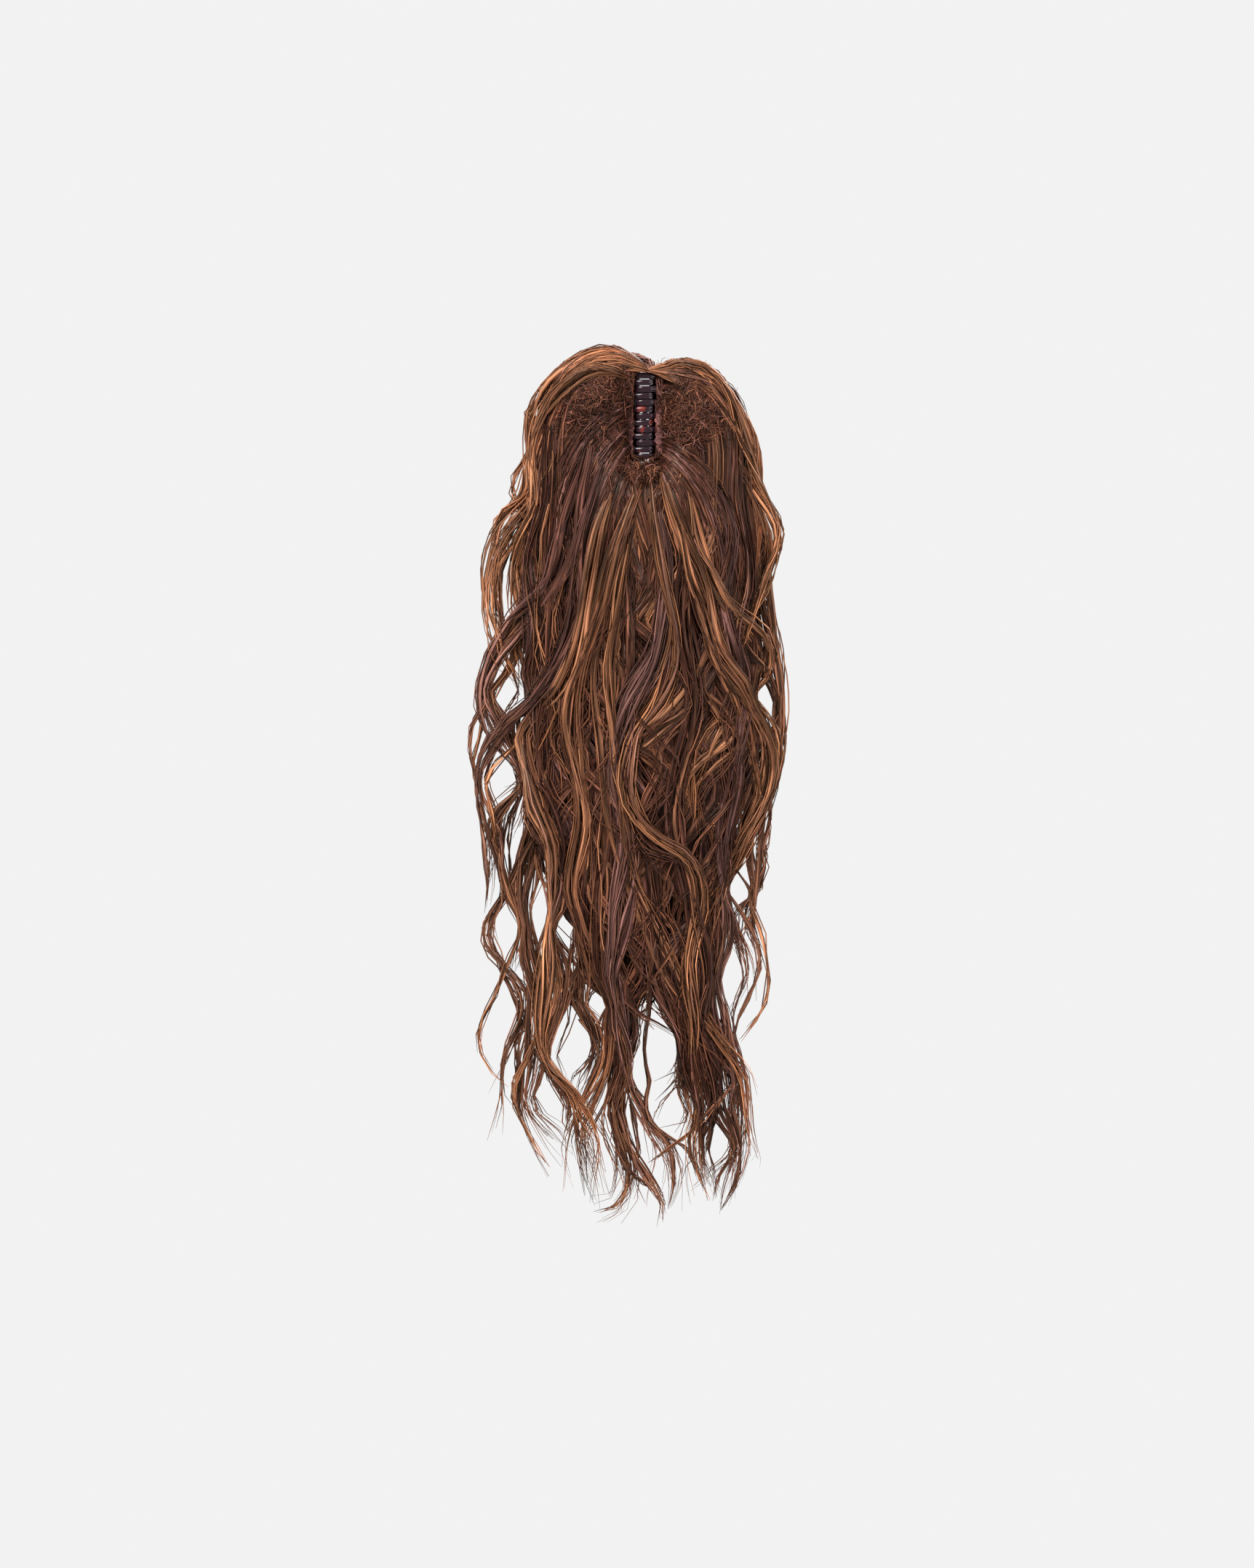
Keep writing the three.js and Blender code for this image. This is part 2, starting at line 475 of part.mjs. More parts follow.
// One half of the mass of hair, without its locks.
const massOf = (sections, side) => {
  const sides = 16;
  const rings = sections.map((row) => {
    const middle = side * ((row.inner + row.outer) / 2) * HALF_SPREAD;
    const half = ((row.outer - row.inner) / 2) * HALF_SPREAD;
    return Array.from({ length: sides }, (_, index) => {
      const turn = (index / sides) * 2 * Math.PI;
      const reach = Math.sin(turn) < 0 ? FRONT_DEPTH : BACK_DEPTH;
      return new THREE.Vector3(middle + half * Math.cos(turn), row.depth * reach * Math.sin(turn),
        heightOf(row.down));
    });
  });
  return loftOf(rings.reverse());
};

// One lock, laid on the front or back of the mass. It is full at the root and thin at the tip.
const lockOf = (row, facing) => {
  const reach = facing < 0 ? FRONT_DEPTH : BACK_DEPTH;
  const turns = row.turns.map(([across, down]) => {
    const x = across * HALF_SPREAD;
    const z = heightOf(down);
    const y = facing * (depthShare(x, z) * reach + row.layer * LAYER_STEP);
    return new THREE.Vector3(x, y, z);
  });
  const route = new THREE.CatmullRomCurve3(turns, false, 'centripetal');
  const points = route.getPoints(Math.round((turns.length - 1) * STEPS_A_TURN));
  const half = (row.width * LOCK_WIDTH) / 2;
  const fullness = (share) => Math.max(0.22, Math.sqrt(1 - share ** 4)) * Math.min(1, 0.7 + 3 * share);
  return loftOf(ringsAlong(points, (share) => half * fullness(share),
    (share) => half * LOCK_FLATNESS * fullness(share), LOCK_SIDES));
};

// The room that one half of the hair may fill: its own side of the parting in front of the hinge,
// and outside the back parting behind it, which closes when the levers are pressed.
const roomOf = (side) => {
  const edge = (side * PIECE_GAP) / 2;
  const room = upright([
    new THREE.Vector2(edge, -farAway),
    new THREE.Vector2(edge, hingeY),
    new THREE.Vector2(edge + side * farAway * Math.tan(BACK_PARTING_ANGLE), hingeY + farAway),
    new THREE.Vector2(side * farAway, hingeY + farAway),
    new THREE.Vector2(side * farAway, -farAway),
  ], -farAway, farAway);
  const level = heightOf(TIP_LINE_DOWN);
  const tipLine = TIP_LINE_ACROSS * HALF_SPREAD;
  return side < 0
    ? room.add(block(edge * 2, tipLine + edge, -farAway, hingeY, -farAway, level + edge))
    : room.subtract(block(-edge, tipLine + edge, -farAway, hingeY, -farAway, level + edge));
};

const wholeHair = () => {
  let whole = massOf(LEFT_SECTIONS, -1).add(massOf(RIGHT_SECTIONS, 1));
  for (const row of FRONT_LOCKS) {
    whole = whole.add(lockOf(row, -1));
  }
  for (const row of BACK_LOCKS) {
    whole = whole.add(lockOf(row, 1));
  }
  const half = CLIP_HEIGHT / 2 + HAIR_CLEARANCE;
  whole = whole.subtract(roundPost(boreRadius, 0, 0, -half, half, 32));
  whole = whole.subtract(block(-LEFT_WINDOW, RIGHT_WINDOW, -farAway, 0, -half, half));
  const pinRoom = leverHalfHeight + PIN_END + HAIR_CLEARANCE;
  whole = whole.subtract(roundPost(HINGE_ROOM, 0, hingeY, -pinRoom, pinRoom));
  for (const side of [-1, 1]) {
    const room = leverOutline(side, HAIR_CLEARANCE);
    const height = leverHalfHeight + HAIR_CLEARANCE;
    whole = whole.subtract(upright(room, -height, height));
  }
  return whole;
};

const allHair = wholeHair();
const crownBottom = -CLIP_HEIGHT / 2 - CROWN_HEM;
const crownRoom = block(-farAway, farAway, -farAway, farAway, crownBottom, farAway);
const tailRoom = block(-farAway, farAway, -farAway, farAway, -farAway, crownBottom - PIECE_GAP);
const leftRoom = roomOf(-1);
const rightRoom = roomOf(1);

const part = new THREE.Group();
part.name = 'ponytail_hairpiece';
part.add(
  meshOf('jaw_left', jawOf(-1), plastic),
  meshOf('jaw_right', jawOf(1), plastic),
  meshOf('hinge_pin', hingePin(), steel),
  meshOf('hinge_spring', hingeSpring(), steel),
  meshOf('net_left', netOf(-1), net),
  meshOf('net_right', netOf(1), net),
  meshOf('crown_left', pieceOf(allHair, leftRoom.intersect(crownRoom)), hair),
  meshOf('crown_right', pieceOf(allHair, rightRoom.intersect(crownRoom)), hair),
  meshOf('tail_left', pieceOf(allHair, leftRoom.intersect(tailRoom)), hair),
  meshOf('tail_right', pieceOf(allHair, rightRoom.intersect(tailRoom)), hair),
);

export default part;
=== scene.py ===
"""A ponytail hairpiece: a sprung claw clip with long wavy brown hair sewn round both its jaws.

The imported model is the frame. Metres, +Z up along the hanging hair, -Y the toothed side of the
clip, which the camera faces, and +X the right of the parting.
"""

import bmesh
import bpy
import numpy as np
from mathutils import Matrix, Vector


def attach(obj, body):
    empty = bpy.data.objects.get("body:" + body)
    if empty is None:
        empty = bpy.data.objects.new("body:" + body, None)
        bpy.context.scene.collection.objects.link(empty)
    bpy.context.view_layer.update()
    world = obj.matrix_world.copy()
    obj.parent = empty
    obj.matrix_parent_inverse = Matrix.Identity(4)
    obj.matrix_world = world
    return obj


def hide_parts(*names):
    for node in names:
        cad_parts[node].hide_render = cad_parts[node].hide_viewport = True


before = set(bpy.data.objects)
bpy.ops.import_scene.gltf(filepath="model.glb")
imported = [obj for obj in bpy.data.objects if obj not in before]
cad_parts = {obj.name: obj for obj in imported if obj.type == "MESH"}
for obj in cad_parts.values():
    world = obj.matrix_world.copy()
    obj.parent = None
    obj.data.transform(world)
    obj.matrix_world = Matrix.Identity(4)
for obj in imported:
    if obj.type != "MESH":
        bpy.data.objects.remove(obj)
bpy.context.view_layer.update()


# The studio: a plain pale room with soft light from above on the left, and the camera square to
# the toothed side of the hanging piece, as far off as a long lens stands.
PHOTO_WIDTH, PHOTO_HEIGHT = 1724, 2156
PIXEL = 0.0005
CLIP_PIXEL = (886, 575)
CAMERA_DISTANCE = 3.2
SENSOR = 36.0
FLOOR_HEIGHT = -1.1
PALE = (0.888, 0.888, 0.888, 1.0)


def srgb(red, green, blue):
    """Linear colour of a display colour given in 0 to 255."""
    value = np.array([red, green, blue]) / 255.0
    return np.where(value <= 0.04045, value / 12.92, ((value + 0.055) / 1.055) ** 2.4)


def add_object(name, data):
    """An object of this data in the scene."""
    thing = bpy.data.objects.new(name, data)
    bpy.context.scene.collection.objects.link(thing)
    return thing


def place_camera():
    """The frame's middle lies this far from the clip's: the pixel offset times a pixel's size."""
    data = bpy.data.cameras.new("camera")
    data.sensor_width = SENSOR
    data.lens = SENSOR * CAMERA_DISTANCE / (PHOTO_HEIGHT * PIXEL)
    camera = add_object("camera", data)
    right = (PHOTO_WIDTH / 2 - CLIP_PIXEL[0]) * PIXEL
    down = (PHOTO_HEIGHT / 2 - CLIP_PIXEL[1]) * PIXEL
    camera.location = (right, -CAMERA_DISTANCE, -down)
    camera.rotation_euler = (np.pi / 2, 0, 0)
    bpy.context.scene.camera = camera


def area_light(name, location, aim, size, power):
    """A square soft light at location whose face looks at aim."""
    data = bpy.data.lights.new(name, "AREA")
    data.shape = "SQUARE"
    data.size = size
    data.energy = power
    light = add_object(name, data)
    light.location = location
    light.rotation_euler = (Vector(aim) - Vector(location)).to_track_quat("-Z", "Y").to_euler()


def join(tree, *links):
    """Links nodes, each link a node, its output, the node that it feeds and that one's input."""
    for source, output, fed, socket in links:
        tree.links.new(source.outputs[output], fed.inputs[socket])


def add_node(tree, kind, values=None, **settings):
    """A new node of this kind, with these socket values and settings."""
    node = tree.nodes.new(kind)
    for setting, value in settings.items():
        setattr(node, setting, value)
    for socket, value in (values or {}).items():
        node.inputs[socket].default_value = value
    return node


def new_material(name, values):
    """A material, its node tree, and its Principled shader with these socket values."""
    material = bpy.data.materials.new(name)
    material.use_nodes = True
    shader = material.node_tree.nodes["Principled BSDF"]
    for socket, value in values.items():
        shader.inputs[socket].default_value = value
    return material, material.node_tree, shader


def build_studio():
    """Camera, three soft lights, a pale world and a floor below the view."""
    place_camera()
    area_light("key", (-0.9, -1.5, 1.4), (0, 0, -0.2), 1.0, 62)
    area_light("fill", (1.5, -1.5, 0.2), (0, 0, -0.3), 1.4, 18)
    area_light("rim", (0.9, 1.4, 1.0), (0, 0, -0.2), 1.2, 24)
    world = bpy.data.worlds.new("pale_room")
    bpy.context.scene.world = world
    world.use_nodes = True
    tree = world.node_tree
    tree.nodes.clear()
    seen = add_node(tree, "ShaderNodeBackground", {"Color": PALE})
    lit = add_node(tree, "ShaderNodeBackground", {"Color": PALE, "Strength": 0.42})
    ray = add_node(tree, "ShaderNodeLightPath")
    mix = add_node(tree, "ShaderNodeMixShader")
    out = add_node(tree, "ShaderNodeOutputWorld")
    join(tree, (ray, "Is Camera Ray", mix, 0), (lit, 0, mix, 1),
         (seen, 0, mix, 2), (mix, 0, out, 0))
    bpy.ops.mesh.primitive_plane_add(size=2.4, location=(0, 0, FLOOR_HEIGHT))
    floor = bpy.context.object
    floor.name = "floor"
    pale_floor, _, _ = new_material("pale_floor", {"Base Color": PALE, "Roughness": 0.9})
    floor.data.materials.append(pale_floor)
    bpy.context.scene.view_settings.view_transform = "Standard"


build_studio()


# The claw's two jaws: dark tortoiseshell plastic, moulded, each with a curved wall, a row of
# round-backed teeth that cross the middle, two knuckles and a finger lever behind.
JAW_RADIUS = 0.02
TOOTH_ROOT, TOOTH_TIP = np.arcsin(12 / 20), -np.arcsin(6.2 / 20)
TOOTH_HALF_HEIGHT = 0.0021
TOOTH_HALF_THICKNESS = 0.0015
TOOTH_PITCH = 0.0092
TEETH = {"left": (-1, 6, 2.0), "right": (1, 7, 3.0)}


def mesh_object(name, vertices, faces):
    """A smooth mesh object from a vertex array and arrays of faces of one size each."""
    data = bpy.data.meshes.new(name)
    rows = [face for group in faces for face in group.tolist()]
    data.from_pydata(np.asarray(vertices, dtype=np.float32).reshape(-1, 3), [], rows)
    data.shade_smooth()
    data.validate()
    return add_object(name, data)


def tube_faces(count, steps, sides, start=0):
    """Quads between neighbouring rings of closed tubes, and the faces of their two ends."""
    index = start + np.arange(count * steps * sides).reshape(count, steps, sides)
    here, beside = index[:, :-1], np.roll(index[:, :-1], -1, axis=2)
    quads = np.stack([here, beside, beside + sides, here + sides], axis=-1).reshape(-1, 4)
    return quads, np.concatenate([index[:, 0, ::-1], index[:, -1]])


def tooth_backs(half):
    """The round backs of a jaw's teeth: a squared oval carried along an arc of the jaw's circle
    from the root to past the middle, and drawn in to a dome over its last fifth."""
    side, count, squareness = TEETH[half]
    heights = (np.arange(count) - (count - 1) / 2)[:, None, None] * TOOTH_PITCH
    share = 1 - (1 - np.linspace(0, 1, 18)) ** 1.6
    full = np.sqrt(np.clip(1 - (np.clip(share - 0.8, 0, 1) / 0.2) ** 2, 0.003, None))[:, None]
    angle = (TOOTH_ROOT + (TOOTH_TIP - TOOTH_ROOT) * share)[:, None]
    turns = np.linspace(0, 2 * np.pi, 21)[:-1]
    across = np.abs(np.cos(turns)) ** (2 / squareness) * np.sign(np.cos(turns))
    out = np.abs(np.sin(turns)) ** (2 / squareness) * np.sign(np.sin(turns))
    thick = TOOTH_HALF_THICKNESS * np.minimum(1, 0.75 + share[:, None])
    radius = JAW_RADIUS - 0.00125 + thick * full * out
    z = heights + side * TOOTH_HALF_HEIGHT * full * across
    rings = np.broadcast_arrays(side * radius * np.sin(angle), -radius * np.cos(angle), z)
    rings = np.stack(rings, axis=-1)
    return mesh_object("tooth_backs_" + half, rings, tube_faces(count, len(share), len(turns)))


def colour_ramp(tree, *stops):
    """A ramp node with two stops, each a position and a display colour."""
    ramp = tree.nodes.new("ShaderNodeValToRGB")
    for element, (position, colour) in zip(ramp.color_ramp.elements, stops):
        element.position = position
        element.color = (*srgb(*colour), 1)
    return ramp


def tortoiseshell():
    """Dark brown gloss plastic with reddish patches where it is clear: noise through a ramp."""
    material, tree, shader = new_material("tortoiseshell_plastic", {
        "Roughness": 0.2, "Specular IOR Level": 0.22, "Coat Weight": 0.38, "Coat Roughness": 0.1})
    place = add_node(tree, "ShaderNodeTexCoord")
    shift = add_node(tree, "ShaderNodeMapping", {"Location": (0.004, 0, 0.012)})
    patches = add_node(tree, "ShaderNodeTexNoise", {"Scale": 95, "Detail": 3})
    ramp = colour_ramp(tree, (0.58, (42, 22, 30)), (0.72, (150, 52, 38)))
    join(tree, (place, "Object", shift, "Vector"),
         (shift, "Vector", patches, "Vector"),
         (patches, "Fac", ramp, "Fac"),
         (ramp, "Color", shader, "Base Color"))
    return material


def dress_node(name, material):
    """Gives a CAD node this material in every slot."""
    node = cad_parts[name]
    if not node.material_slots:
        node.data.materials.append(material)
    for slot in node.material_slots:
        slot.material = material


def moulded_jaw(half):
    """A copy of the jaw whose doubled corners are merged and whose flat faces are joined, and whose
    curved faces are smooth, so the gloss runs along each tooth."""
    shape = bmesh.new()
    shape.from_mesh(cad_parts["jaw_" + half].data)
    bmesh.ops.remove_doubles(shape, verts=shape.verts, dist=0.00001)
    bmesh.ops.dissolve_limit(shape, angle_limit=np.radians(1), verts=shape.verts, edges=shape.edges)
    bmesh.ops.triangulate(shape, faces=shape.faces)
    data = bpy.data.meshes.new("moulded_jaw_" + half)
    shape.to_mesh(data)
    shape.free()
    data.shade_smooth()
    data.set_sharp_from_angle(angle=np.radians(34))
    return add_object("moulded_jaw_" + half, data)


def settle(piece, half, material):
    """Gives a piece this one material and slot, and lets it ride on that half of the clip."""
    piece.data.materials.clear()
    piece.data.materials.append(material)
    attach(piece, half + "_half")


shell = tortoiseshell()
for half in ("left", "right"):
    jaw = moulded_jaw(half)
    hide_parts("jaw_" + half)
    settle(jaw, half, shell)
    settle(tooth_backs(half), half, shell)


# The pin and the coil spring: drawn steel wire, bright and slightly oily.
def steel_wire():
    """Plain steel whose roughness varies by fine noise."""
    material, tree, shader = new_material("steel_wire", {
        "Base Color": (0.55, 0.55, 0.57, 1), "Metallic": 1})
    place = add_node(tree, "ShaderNodeTexCoord")
    grain = add_node(tree, "ShaderNodeTexNoise", {"Scale": 900})
    rough = add_node(tree, "ShaderNodeMapRange", {"To Min": 0.2, "To Max": 0.4})
    join(tree, (place, "Object", grain, "Vector"),
         (grain, "Fac", rough, "Value"),
         (rough, "Result", shader, "Roughness"))
    return material


wire = steel_wire()
for name in ("hinge_pin", "hinge_spring"):
    dress_node(name, wire)


# The nets: stretchy lace knitted from pinkish brown yarn, sewn over the outside of each jaw.
def lace_net():
    """Knitted yarn: cells of a Voronoi pattern raised at their edges over a darker ground."""
    material, tree, shader = new_material("lace_net", {"Roughness": 0.8})
    place = add_node(tree, "ShaderNodeTexCoord")
    cells = add_node(tree, "ShaderNodeTexVoronoi", feature="DISTANCE_TO_EDGE")
    cells.inputs["Scale"].default_value = 620
    yarn = add_node(tree, "ShaderNodeMapRange", {"From Max": 0.16})
    colours = add_node(tree, "ShaderNodeMix", data_type="RGBA")
    colours.inputs[6].default_value = (*srgb(168, 104, 98), 1)
    colours.inputs[7].default_value = (*srgb(84, 48, 45), 1)
    bump = add_node(tree, "ShaderNodeBump", {"Strength": 0.7, "Distance": 0.0006}, invert=True)
    join(tree, (place, "Object", cells, "Vector"),
         (cells, "Distance", yarn, "Value"),
         (yarn, "Result", colours, 0),
         (colours, 2, shader, "Base Color"),
         (yarn, "Result", bump, "Height"),
         (bump, "Normal", shader, "Normal"))
    return material


NET_EDGE = {"left": (-0.0102, -0.0198), "right": (0.0102, -0.024)}


def net_edge(half):
    """The ruffled edge of a net beside the teeth: a flat oval carried down a gently waving line,
    wider and narrower by turns."""
    x, y = NET_EDGE[half]
    height = np.linspace(0.005, -0.026, 40)[:, None]
    ruffle = np.sin(2 * np.pi * height / 0.0046)
    full = np.sqrt(np.clip(1 - (2 * np.linspace(0, 1, 40) - 1) ** 6, 0.01, None))[:, None]
    turns = np.linspace(0, 2 * np.pi, 11)[:-1]
    wide = (0.0026 + 0.0006 * ruffle) * full
    across = x + 0.0006 * np.sin(2 * np.pi * height / 0.013) - wide * np.cos(turns)
    deep = y + 0.0005 * ruffle - 0.0006 * full * np.sin(turns)
    rings = np.stack([across, deep, height + 0 * turns], axis=-1)
    return mesh_object("net_edge_" + half, rings, tube_faces(1, 40, 10))


lace = lace_net()
for half in ("left", "right"):
    dress_node("net_" + half, lace)
    settle(net_edge(half), half, lace)


# The under-hair: the packed fibre beneath the locks. It is the mass that the crown and tail make
# together, open round the clip, and darker than the locks since little light gets to it.
HALF_SPREAD = 0.1
FALL = 0.558
CROWN_TOP = 0.048
FRONT_DEPTH = 0.036
BACK_DEPTH = 0.032
BORE_RADIUS = 0.0227
CLIP_HALF = 0.0315
HINGE_Y = 0.0185
BACK_PARTING = np.radians(24)
SEAM_LEAN = 0.22
CLIP_EDGE, CLIP_END = 0.009, 0.031
TEETH_REACH, TEETH_FADE = 0.0205, 0.016
# Each row: how far down, the inner edge, the outer edge and the depth, in hundredths.
LEFT_SECTIONS = np.array([
    (-97, 12, 36, 22), (-86, 4, 50, 50), (-62, -1, 61, 76), (-30, -3, 69, 92), (3, -5, 74, 100),
    (7.5, -22, 72, 98), (14, -35, 82, 92), (22, -35, 86, 90), (31, -35, 84, 86),
    (40, -35, 84, 84), (50, -30, 82, 76), (58, -30, 66, 66), (66, -20, 42, 56), (75, 0, 32, 42),
    (82, 12, 26, 20),
]) / 100
RIGHT_SECTIONS = np.array([
    (-79, 14, 36, 22), (-68, 5, 47, 50), (-45, -1, 57, 76), (-12, -3, 64, 92), (3, -5, 69, 100),
    (7.5, -22, 71, 98), (14, -35, 78, 92), (22, -35, 78, 90), (31, -35, 78, 86),
    (40, -35, 82, 84), (50, -30, 68, 76), (58, -30, 56, 66), (68, -20, 50, 56), (76, 12, 55, 46),
    (84, 30, 62, 34), (91, 50, 60, 14),
]) / 100
HALVES = {"left": (-1, LEFT_SECTIONS), "right": (1, RIGHT_SECTIONS)}


def height_of(down):
    """Above the clip's middle a share of the crown's height, below it a share of the fall."""
    down = np.asarray(down, dtype=float)
    return np.where(down < 0, -down * CROWN_TOP, -down * FALL)


def section_at(sections, height):
    """Inner edge, outer edge and depth of the mass at these heights, straight between rows."""
    heights = height_of(sections[:, 0])[::-1]
    return [np.interp(height, heights, sections[::-1, column]) for column in (1, 2, 3)]


def depth_share(x, height):
    """How far the mass reaches off its middle plane there, as a share of its full depth: the
    root of one less the squared distance from the nearer half's middle over its half width."""
    deepest = np.zeros(np.broadcast(x, height).shape)
    for side, sections in HALVES.values():
        inner, outer, depth = section_at(sections, height)
        middle = side * (inner + outer) / 2 * HALF_SPREAD
        half = (outer - inner) / 2 * HALF_SPREAD
        reach = depth * np.sqrt(np.clip(1 - ((x - middle) / half) ** 2, 0, None))
        deepest = np.maximum(deepest, reach)
    return deepest


def beside_clip(across, height, reach):
    """How far forward the hair reaches there: down to the teeth's backs at the clip's edge, and
    its full reach again a set distance away, by a power of the distance."""
    away = np.hypot(np.clip(np.abs(across) - CLIP_EDGE, 0, None),
                    np.clip(np.abs(height) - CLIP_END, 0, None))
    share = np.clip(away / TEETH_FADE, 0, 1) ** 0.7
    return np.minimum(reach, TEETH_REACH + (reach - TEETH_REACH) * share)


def under_hair(half):
    """Rings of an oval at each height, pressed back to the net round the clip and to the sides
    of the back parting behind the hinge, and closed with a point at both ends."""
    side, sections = HALVES[half]
    heights = np.sort(np.concatenate([
        np.linspace(max(height_of(sections[-1, 0]), -0.455), height_of(sections[0, 0]), 60),
        [-CLIP_HALF, -CLIP_HALF - 0.0005, CLIP_HALF, CLIP_HALF + 0.0005]]))
    turns = np.linspace(0, 2 * np.pi, 49)[:-1]
    inner, outer, depth = (column[:, None] for column in section_at(sections, heights))
    middle, wide = (inner + outer) / 2, (outer - inner) / 2
    thin = np.interp(heights, [-0.5, -0.36, -0.3, 0.0], [0.45, 0.62, 0.9, 0.94])[:, None]
    across = (middle + wide * thin * np.cos(turns)) * HALF_SPREAD
    ripple = 1 + 0.05 * np.sin(14 * turns + 40 * heights[:, None])
    low = np.interp(heights, [-0.35, -0.15], [0.55, 0.8])[:, None]
    deep = np.where(np.sin(turns) < 0, FRONT_DEPTH, BACK_DEPTH) * low * ripple
    y = depth * deep * np.sin(turns)
    y = np.where(y < 0, -beside_clip(across, heights[:, None], -y), y)
    in_clip = (np.abs(heights) <= CLIP_HALF)[:, None] & (np.abs(y) < BORE_RADIUS)
    net_edge = np.sqrt(np.clip(BORE_RADIUS ** 2 - y ** 2, 0, None))
    least = np.where(in_clip, net_edge, 0.0004 + side * SEAM_LEAN * y)
    least = np.maximum(least, (y - HINGE_Y) * np.tan(BACK_PARTING))
    across = np.maximum(across, least)
    rings = np.stack([side * across, y, np.broadcast_to(heights[:, None], y.shape)], axis=-1)
    rows, sides = y.shape
    ends = rings[[0, -1]].mean(axis=1)
    vertices = np.concatenate([rings.reshape(-1, 3), ends])
    quads, _ = tube_faces(1, rows, sides)
    first = np.arange(sides)
    last = first + (rows - 1) * sides
    low = np.stack([np.full(sides, rows * sides), np.roll(first, -1), first], axis=-1)
    high = np.stack([np.full(sides, rows * sides + 1), last, np.roll(last, -1)], axis=-1)
    if side < 0:
        quads, low, high = quads[:, ::-1], low[:, ::-1], high[:, ::-1]
    return mesh_object("under_hair_" + half, vertices, [quads, low, high])


def under_hair_material():
    """Dark brown with fine long streaks: noise squeezed along the fall, on colour and bump."""
    material, tree, shader = new_material("under_hair", {
        "Roughness": 0.7, "Specular IOR Level": 0.15})
    place = add_node(tree, "ShaderNodeTexCoord")
    stretch = add_node(tree, "ShaderNodeMapping", {"Scale": (1, 1, 0.05)})
    streaks = add_node(tree, "ShaderNodeTexNoise", {"Scale": 700, "Detail": 4})
    ramp = colour_ramp(tree, (0.35, (26, 14, 10)), (0.7, (74, 44, 32)))
    bump = add_node(tree, "ShaderNodeBump", {"Strength": 0.8, "Distance": 0.001})
    join(tree, (place, "Object", stretch, "Vector"),
         (stretch, "Vector", streaks, "Vector"),
         (streaks, "Fac", ramp, "Fac"),
         (ramp, "Color", shader, "Base Color"),
         (streaks, "Fac", bump, "Height"),
         (bump, "Normal", shader, "Normal"))
    return material


dark_fibre = under_hair_material()
for half in HALVES:
    packed = under_hair(half)
    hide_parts("crown_" + half, "tail_" + half)
    settle(packed, half, dark_fibre)


# The locks: heat-set wavy fibre in several browns, with copper lights. Each lock follows one row
# of turns, the same as in the solids. It parts into flat sub-locks of fine fibre, with loose
# strands round them, and thinner locks that were combed out of it run beside it.
STRAND_STEP, FLAT_STEP = 0.0135, 0.0088
STRAND_RADIUS = 0.00046
LOCK_HALF_WIDTH = 0.0072
LOCK_HALF_DEPTH = 0.004
LAYER_STEP = 0.003
CURL_DEPTH = 0.0048
WANDER = 0.0016
# Mauve is a purplish brown of the fibre, and its pale upper end also stands in for painted
# highlights.
SHADES = {
    "dark": (srgb(44, 22, 17), srgb(70, 38, 31)),
    "brown": (srgb(78, 45, 35), srgb(118, 74, 56)),
    "copper": (srgb(112, 68, 47), srgb(170, 115, 80)),
    "mauve": (srgb(82, 48, 46), srgb(142, 101, 93)),
}
TINTS = {
    "copper": (0.12, 0.35, 0.48, 0.05),
    "brown": (0.3, 0.5, 0.12, 0.08),
    "mauve": (0.3, 0.25, 0.05, 0.4),
    "dark": (0.65, 0.25, 0.04, 0.06),
    "frizz": (0.2, 0.68, 0.02, 0.1),
}
